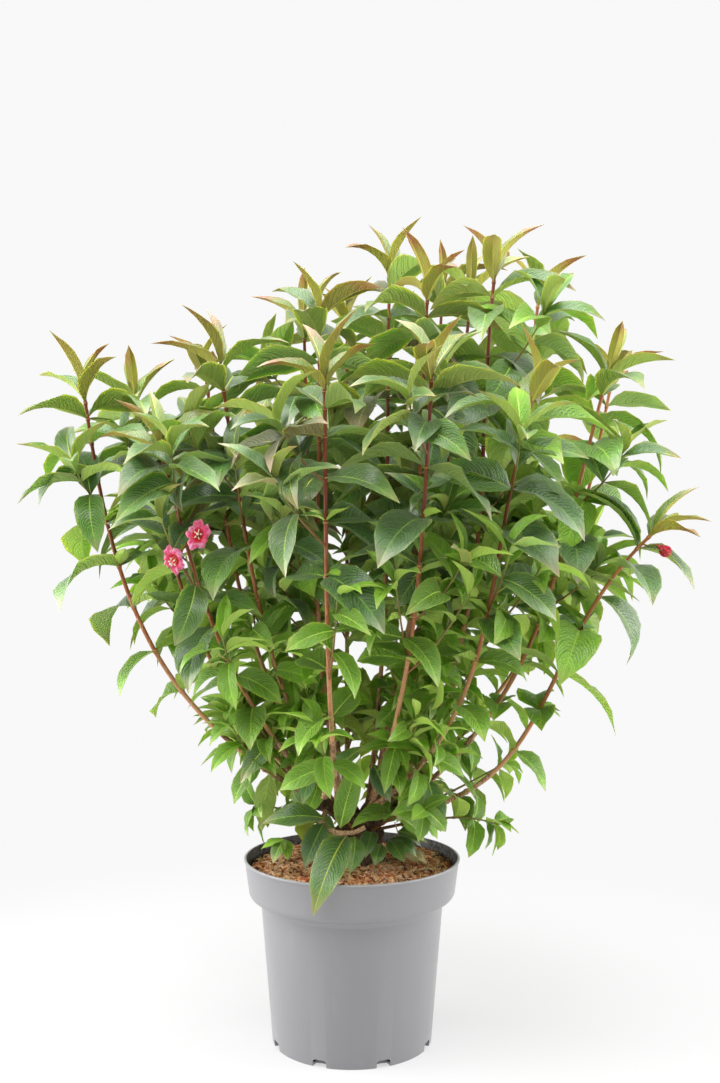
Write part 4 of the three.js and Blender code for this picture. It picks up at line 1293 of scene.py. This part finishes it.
# The masses are joined by quarter, each with the old limbs that its canes grow from.
QUARTERS = {"right": (7, 0), "back": (1, 2), "left": (3, 4), "front": (5, 6)}
row = seeded_row(77)
for quarter, limbs in QUARTERS.items():
    nodes = [node for node, cane in zip(cane_nodes, CANES) if cane[0] in limbs]
    clear = [leaf for node in nodes for leaf in masses[node] if stands_clear(leaf)]
    leaves = [leaf for leaf in clear if not hides_a_stem(leaf)]
    mesh = foliage_mesh(f"{quarter}_leaves", leaves, row)
    piece(f"{quarter}_leaves", mesh, leaf_finishes, nodes, crease=75)
low_leaves = [leaf for node in low_nodes for leaf in masses[node] if stands_clear(leaf)]

# The leaves round the foot of the plant, each from its root to its tip in millimetres, with
# its width as a share of its length, the way its face looks, and its tint.
FOOT_LEAVES = [
    ((-7, -92, 306), (-55, -180, 231), 0.36, (0.1, -0.5, 0.85), "olive"),
    ((-38, -62, 316), (-62, -92, 263), 0.50, (-0.2, -0.9, 0.3), "deep"),
    ((4, -70, 300), (0, -104, 258), 0.52, (0.3, -0.9, 0.3), "mid"),
    ((-92, -64, 294), (-122, -74, 282), 0.50, (0, -0.4, 0.9), "fresh"),
    ((-92, -64, 294), (-104, -92, 268), 0.50, (-0.3, -0.7, 0.6), "olive"),
    ((-92, -64, 294), (-84, -88, 272), 0.50, (0.2, -0.7, 0.6), "fresh"),
    ((52, -34, 286), (72, -64, 262), 0.60, (0.1, -0.6, 0.8), "mid"),
    ((52, -34, 286), (92, -46, 270), 0.56, (0.3, -0.4, 0.8), "deep"),
    ((64, -24, 296), (104, -40, 284), 0.56, (0.1, -0.6, 0.7), "mid"),
    ((64, -24, 296), (96, -14, 272), 0.56, (0.4, -0.5, 0.7), "deep"),
    ((40, -40, 282), (30, -72, 260), 0.60, (0, -0.6, 0.8), "mid"),
    ((28, -44, 300), (20, -84, 276), 0.52, (-0.1, -0.7, 0.7), "deep"),
    ((-15, -106, 320), (9, -108, 415), 0.32, (-0.1, -0.95, 0.3), "fresh"),
    ((-36, -96, 330), (-118, -112, 328), 0.42, (-0.05, -0.6, 0.8), "mid"),
    ((-23, -90, 388), (18, -104, 428), 0.46, (-0.3, -0.8, 0.5), "olive"),
    ((59, -104, 431), (10, -122, 424), 0.36, (0, -0.6, 0.8), "fresh"),
    ((59, -104, 431), (46, -128, 369), 0.36, (-0.1, -0.9, 0.4), "fresh"),
    ((59, -104, 431), (75, -126, 398), 0.40, (0.3, -0.8, 0.5), "fresh"),
    ((59, -104, 431), (84, -98, 476), 0.40, (0.2, -0.8, 0.5), "fresh"),
    ((30, -84, 400), (48, -100, 352), 0.50, (0.1, -0.9, 0.3), "deep"),
    ((96, -84, 372), (58, -102, 328), 0.44, (-0.2, -0.9, 0.3), "mid"),
    ((102, -84, 381), (116, -100, 314), 0.44, (0.2, -0.9, 0.3), "mid"),
    ((86, -92, 382), (60, -114, 354), 0.42, (-0.1, -0.8, 0.5), "fresh"),
    ((-54, -84, 398), (-62, -100, 350), 0.46, (-0.1, -0.95, 0.2), "deep"),
    ((-112, -56, 382), (-125, -70, 308), 0.40, (-0.2, 0.9, -0.2), "mid"),
    ((-104, -66, 432), (-152, -88, 378), 0.44, (-0.2, -0.8, 0.5), "olive"),
    ((72, -14, 262), (106, -18, 250), 0.62, (0.1, -0.5, 0.9), "dry"),
]
FOOT_LIFT = 14  # the degrees that such a leaf rises above the straight line to its tip
FOOT_SLACK = 1.04  # how much longer it is than that line
for root, tip, slim, face, tint in FOOT_LEAVES:
    chord = metres(tip) - metres(root)
    across = chord.cross(Vector(face)).normalized()
    heading = chord.normalized()
    heading.rotate(Quaternion(across, math.radians(FOOT_LIFT)))
    low_leaves.append({
        "root": metres(root), "heading": heading, "face": across.cross(heading).normalized(),
        "length": chord.length * FOOT_SLACK, "slim": slim, "fold": 18, "bend": 26, "age": 0, "tint": tint,
    })
low_mesh = foliage_mesh("low_leaves", low_leaves, row)
piece("low_leaves", low_mesh, leaf_finishes, low_nodes, crease=75)

# ---- Blossom -----------------------------------------------------------------------------
# Two open flowers on a forked stalk and one spent one, closed and crumpled: each a thin
# funnel of crimson petal tissue that opens in five round lobes, pink towards their edges,
# with five pale stamens and a longer style in its throat, and a small brown calyx behind.

LOBE_PETALS = 5
PETAL_SIDES = 60
PETAL_THICK = 0.0004
TUBE_RINGS = [  # the radius and height of each ring of the tube
    (0.0012, 0.0), (0.0016, 0.006), (0.0026, 0.011), (0.0044, 0.016), (0.0060, 0.020), (0.0078, 0.0225),
]
MOUTH_HEIGHT = 0.0225
LOBE_REACH = 0.0175  # from the axis to the end of a lobe
LOBE_NOTCH = 0.0124  # and to the notch between two
LOBE_STEPS = 5
LOBE_ARCH = 0.0042  # how far a lobe arches up between the mouth and its edge
LOBE_DROP = 0.0022  # how far its edge drops back
LOBE_TILT = 0.0042  # how much higher one side of it stands than the other
LOBE_RUFFLE = 0.0016  # how high the waves of its edge are

FLOWER_SQUASH = (0.88, 1.14, 1, 1)  # no flower is quite round
FLOWER_SPINS = (18, 42)
FLOWER_CANE = 14
FLOWER_STALK_AT = 0.64
FLOWER_FORK = (-211, -150, 700)
SPARE_STALKS = [(-6, -4, 14), (6, -6, 16)]  # two that end short of a flower, from the fork
SPENT_FLOWER = ((410, -84, 697), (0.80, -0.15, -0.55))
SPENT_CANE = 21
SPENT_STALK_AT = 0.955

STAMEN_TURN = 20
STAMEN_LINE = [(0.0018, 0.012), (0.003, 0.020), (0.0042, 0.0275)]  # out from the axis and up it
STAMEN_RADIUS = 0.00035
ANTHER_SIZE = (0.0019, 0.0008, 0.0008, 1)
STYLE_LINE = (0.010, 0.022, 0.0325)
STYLE_RADIUS = 0.00045
STIGMA_SIZE = (0.0017, 0.0017, 0.0009, 1)


def looking(place, way, spin=0.0):
    """The matrix that puts a shape at a place with its Z axis turned to look a way."""
    turn = Vector(way).to_track_quat("Z", "Y").to_matrix().to_4x4()
    return Matrix.Translation(place) @ turn @ Matrix.Rotation(math.radians(spin), 4, "Z")


def lobe_spot(bearing, share):
    """Radius and height of a lobe at a bearing, from the mouth of the tube to its edge."""
    in_lobe = (bearing * LOBE_PETALS / FULL_TURN) % 1 - 0.5
    reach = LOBE_REACH * (1 + 0.10 * math.sin(2 * bearing + 0.7) + 0.06 * math.sin(11 * bearing))
    edge = LOBE_NOTCH + (reach - LOBE_NOTCH) * max(0, math.cos(math.pi * in_lobe)) ** 0.5
    start = TUBE_RINGS[-1][0]
    ruffle = LOBE_RUFFLE * share * math.sin(6 * math.pi * in_lobe + 1.3 * bearing)
    arch = LOBE_ARCH * math.sin(0.8 * math.pi * share)
    rise = MOUTH_HEIGHT + arch - LOBE_DROP * share**2 + ruffle
    return start + (edge - start) * share, rise + LOBE_TILT * in_lobe * share


def corolla():
    """An open flower's petal funnel round the Z axis, its foot at the origin."""
    bm = bmesh.new()
    bmesh.ops.create_circle(bm, segments=PETAL_SIDES, radius=1)
    where = bm.verts.layers.float.new("out")
    ring = list(bm.verts)
    bearings = [math.atan2(corner.co.y, corner.co.x) for corner in ring]
    edges = list(bm.edges)
    last = len(TUBE_RINGS) + LOBE_STEPS - 1
    for step in range(last + 1):
        for corner, bearing in zip(ring, bearings):
            if step < len(TUBE_RINGS):
                radius, rise = TUBE_RINGS[step]
            else:
                radius, rise = lobe_spot(bearing, (step - len(TUBE_RINGS) + 1) / LOBE_STEPS)
            corner.co = (radius * math.cos(bearing), radius * math.sin(bearing), rise)
            corner[where] = step / last
        if step < last:
            edges, ring = grown_ring(bm, edges)
    bmesh.ops.recalc_face_normals(bm, faces=bm.faces)
    return bm


def all_joined(name, parts):
    """One mesh of several meshes, each through its matrix."""
    bm = bmesh.new()
    for mesh, pose in parts:
        part = mesh.copy()
        part.transform(pose)
        bm.from_mesh(part)
        bpy.data.meshes.remove(part)
    return mesh_of(bm, name)


funnel = placed("funnel", mesh_of(corolla(), "funnel"))
modified(funnel, "SOLIDIFY", thickness=PETAL_THICK, offset=0)
funnel_mesh = applied(funnel)
flower_poses = []
for spin, (mouth, way) in zip(FLOWER_SPINS, FLOWERS):
    foot = metres(mouth) - Vector(way).normalized() * MOUTH_HEIGHT
    squashed = looking(foot, way) @ Matrix.Diagonal(FLOWER_SQUASH)
    flower_poses.append(squashed @ looking((0, 0, 0), UP, spin))

petal_finish = Finish(
    "petal_pink", roughness=0.55, sheen_weight=0.15,
    subsurface_weight=0.4, subsurface_radius=(1, 0.3, 0.4), subsurface_scale=0.002,
)
out = petal_finish.attribute("out")
streaks = petal_finish.grain(900, 3)
sheen_patch_grain = petal_finish.grain(170, 3)
pinker = (out + 0.5 * (streaks - 0.5)).between(0.40, 0.60)
petal = petal_finish.mixed(colour(238, 28, 54), colour(255, 80, 130), pinker)
# Painted sheen: pale pink patches on the middle of the lobes stand for their glossy highlights.
painted_sheen = 0.85 * out.between(0.45, 0.7) * sheen_patch_grain.between(0.46, 0.66)
petal = petal_finish.mixed(petal, colour(255, 178, 208), painted_sheen)
edged = 0.6 * (out + 0.4 * (streaks - 0.5)).between(0.8, 1.02)
petal_finish.paint(base_color=petal_finish.mixed(petal, colour(255, 150, 192), edged))
petal_finish.relief(streaks + 2 * sheen_patch_grain, 0.0008)
petals = all_joined("open_flowers", [(funnel_mesh, pose) for pose in flower_poses])
piece("open_flowers", petals, [petal_finish], ["foliage_15"], crease=80)

stamen_lines, anther_poses = [], []
anther = bmesh.new()
bmesh.ops.create_icosphere(anther, subdivisions=2, radius=1)
anther_mesh = mesh_of(anther, "anther")
for pose in flower_poses:
    for n in range(LOBE_PETALS):
        bearing = 360 * n / LOBE_PETALS + STAMEN_TURN
        lean = level(bearing)
        stamen_lines.append([(pose @ (lean * out + UP * up), STAMEN_RADIUS) for out, up in STAMEN_LINE])
        end = pose @ Matrix.Translation(lean * 0.0045 + UP * 0.0285)
        end = end @ Matrix.Rotation(math.radians(bearing), 4, "Z")
        anther_poses.append(end @ Matrix.Diagonal(ANTHER_SIZE))
    stamen_lines.append([(pose @ Vector((0, 0, up)), STYLE_RADIUS) for up in STYLE_LINE])
    anther_poses.append(pose @ Matrix.Translation((0, 0, 0.0335)) @ Matrix.Diagonal(STIGMA_SIZE))
cream = Finish("stamen_cream", roughness=0.5)
cream.mottle(colour(250, 244, 226), colour(236, 224, 180), cream.grain(700), 0.4, 0.6)
filaments = (tubes("filaments", stamen_lines, 1), Matrix())
stamens = all_joined("stamens", [filaments, *[(anther_mesh, pose) for pose in anther_poses]])
piece("stamens", stamens, [cream], ["foliage_15"], crease=60)

spent_foot, spent_way = metres(SPENT_FLOWER[0]), Vector(SPENT_FLOWER[1]).normalized()
spent = bmesh.new()
bmesh.ops.create_icosphere(spent, subdivisions=4, radius=1)
for corner in spent.verts:
    along = (corner.co.z + 1) / 2
    bearing = math.atan2(corner.co.y, corner.co.x)
    belly = 0.0018 + 0.0068 * smoothstep(along, 0, 0.75)
    crumple = 1 + 0.16 * math.cos(5 * bearing + 3 * along) * along + 0.22 * noise.noise(corner.co * 2.6)
    width = belly * crumple
    corner.co = (corner.co.x * width, corner.co.y * width, 0.024 * along)
spent.transform(looking(spent_foot, spent_way))
spent_finish = Finish("petal_spent", roughness=0.6)
spent_finish.mottle(colour(138, 20, 34), colour(232, 54, 72), spent_finish.grain(340, 4), 0.35, 0.65)
spent_finish.relief(spent_finish.grain(500, 4), 0.0015)
piece("spent_flower", mesh_of(spent, "spent_flower"), [spent_finish], ["foliage_22"], crease=80)

fork = metres(FLOWER_FORK)
start = canes[FLOWER_CANE].point(FLOWER_STALK_AT)
stalk_lines = [[(start.lerp(fork, k / 4), 0.0012 - 0.00006 * k) for k in range(5)]]
calyces = [(pose @ Vector(), pose.to_3x3() @ UP) for pose in flower_poses]
for end in [foot for foot, _ in calyces] + [fork + metres(spare) for spare in SPARE_STALKS]:
    stalk_lines.append([(fork.lerp(end, k / 3), 0.0009 + 0.0003 * (k == 2)) for k in range(4)])
start = canes[SPENT_CANE].point(SPENT_STALK_AT)
sag = [UP * 0.003 * math.sin(math.pi * k / 4) for k in range(5)]
stalk_lines.append([(start.lerp(spent_foot, k / 4) - sag[k], 0.0010) for k in range(5)])
for end, way in calyces + [(spent_foot, spent_way)]:
    for n in range(LOBE_PETALS):
        side = way.orthogonal()
        side.rotate(Quaternion(way, FULL_TURN * n / LOBE_PETALS))
        sepal = []
        for share in (0, 0.4, 0.8, 1):
            spot = end + way * 0.009 * share + side * (0.0010 + 0.0016 * share)
            sepal.append((spot, 0.0006 * (1.1 - share)))
        stalk_lines.append(sepal)
calyx_finish = Finish("calyx_brown", roughness=0.6)
calyx_finish.mottle(colour(150, 108, 50), colour(120, 132, 60), calyx_finish.grain(160), 0.4, 0.6)
stalk_mesh = tubes("flower_stalks", stalk_lines, 1)
piece("flower_stalks", stalk_mesh, [calyx_finish], ["foliage_15", "foliage_22"])

# ---- Floor, light and camera -------------------------------------------------------------
# A plain pale floor that runs out into a white surround, a large soft light from above and
# the front, a weaker one from each side, and a level camera in front of the plant.

FLOOR_RADIUS = 40
FLOOR_NEAR = 0.2  # the floor shows shadows this near to the pot's axis
FLOOR_FAR = 1.1  # and from here on it only glows like the surround
SURROUND = 0.945  # how bright the surround looks
ROOM_LIGHT = 0.58  # how much light it gives from the back and the sides
FRONT_LIGHT = 0.30  # and from the front
LENS = 41.09

bm = bmesh.new()
bmesh.ops.create_circle(bm, cap_ends=True, radius=FLOOR_RADIUS, segments=128)
floor_mesh = mesh_of(bm, "floor")
floor_finish = Finish("floor_white", roughness=0.8, specular_ior_level=0.0, emission_strength=1.0)
from_pot = floor_finish.node("VectorMath", {"operation": "LENGTH"}, {0: floor_finish.place()}, output="Value")
far_out = from_pot.between(FLOOR_NEAR, FLOOR_FAR)
floor_finish.paint(
    base_color=floor_finish.mixed(colour(142, 142, 142), (0, 0, 0, 1), far_out),
    emission_color=floor_finish.mixed((0.6, 0.6, 0.6, 1), (SURROUND, SURROUND, SURROUND, 1), far_out),
)
floor_mesh.materials.append(floor_finish.material)
placed("floor", floor_mesh)


class Surround(Finish):
    """The light all round the scene, made with the same nodes as a material."""

    def __init__(self, name):
        self.world = bpy.data.worlds.new(name)
        self.wire(self.world, "Background")


surround = Surround("white_surround")
to_the_back = surround.part(surround.node("TexCoord", output="Generated"), 1)
given = surround.node("MapRange", {}, {
    "Value": to_the_back, "From Min": -0.9, "From Max": 0.2, "To Min": FRONT_LIGHT, "To Max": ROOM_LIGHT,
})
looked_at = surround.node("LightPath", output="Is Camera Ray")
mirrored = surround.node("LightPath", output="Is Glossy Ray")
either = surround.node("Math", {"operation": "MAXIMUM"}, {0: looked_at, 1: mirrored})
strength = surround.node("MapRange", {}, {"Value": either, "To Min": given, "To Max": SURROUND})
surround.paint(color=(1, 1, 1, 1), strength=strength)
bpy.context.scene.world = surround.world
bpy.context.scene.view_settings.view_transform = "Standard"


def soft_light(name, place, aim, size, watts):
    """A square soft light at a place, turned to a point."""
    lamp = bpy.data.lights.new(name, "AREA")
    lamp.shape = "SQUARE"
    lamp.size = size
    lamp.energy = watts
    stand = placed(name, lamp)
    stand.location = place
    stand.rotation_euler = (Vector(aim) - Vector(place)).to_track_quat("-Z", "Y").to_euler()


soft_light("top_light", (-0.3, -0.7, 2.9), (0, 0, 0.6), 2.4, 125)
soft_light("left_light", (-2.1, 0.0, 1.0), (0, 0, 0.5), 1.6, 50)
soft_light("right_light", (2.1, 0.0, 1.0), (0, 0, 0.5), 1.6, 36)

camera = bpy.data.cameras.new("camera")
camera.sensor_fit = "VERTICAL"
camera.sensor_height = 36
camera.lens = LENS
camera.clip_end = 60
eye = placed("camera", camera)
eye.location = (EYE_SIDE, -EYE_DISTANCE, EYE_HEIGHT)
eye.rotation_euler = (math.pi / 2, 0, 0)
bpy.context.scene.camera = eye
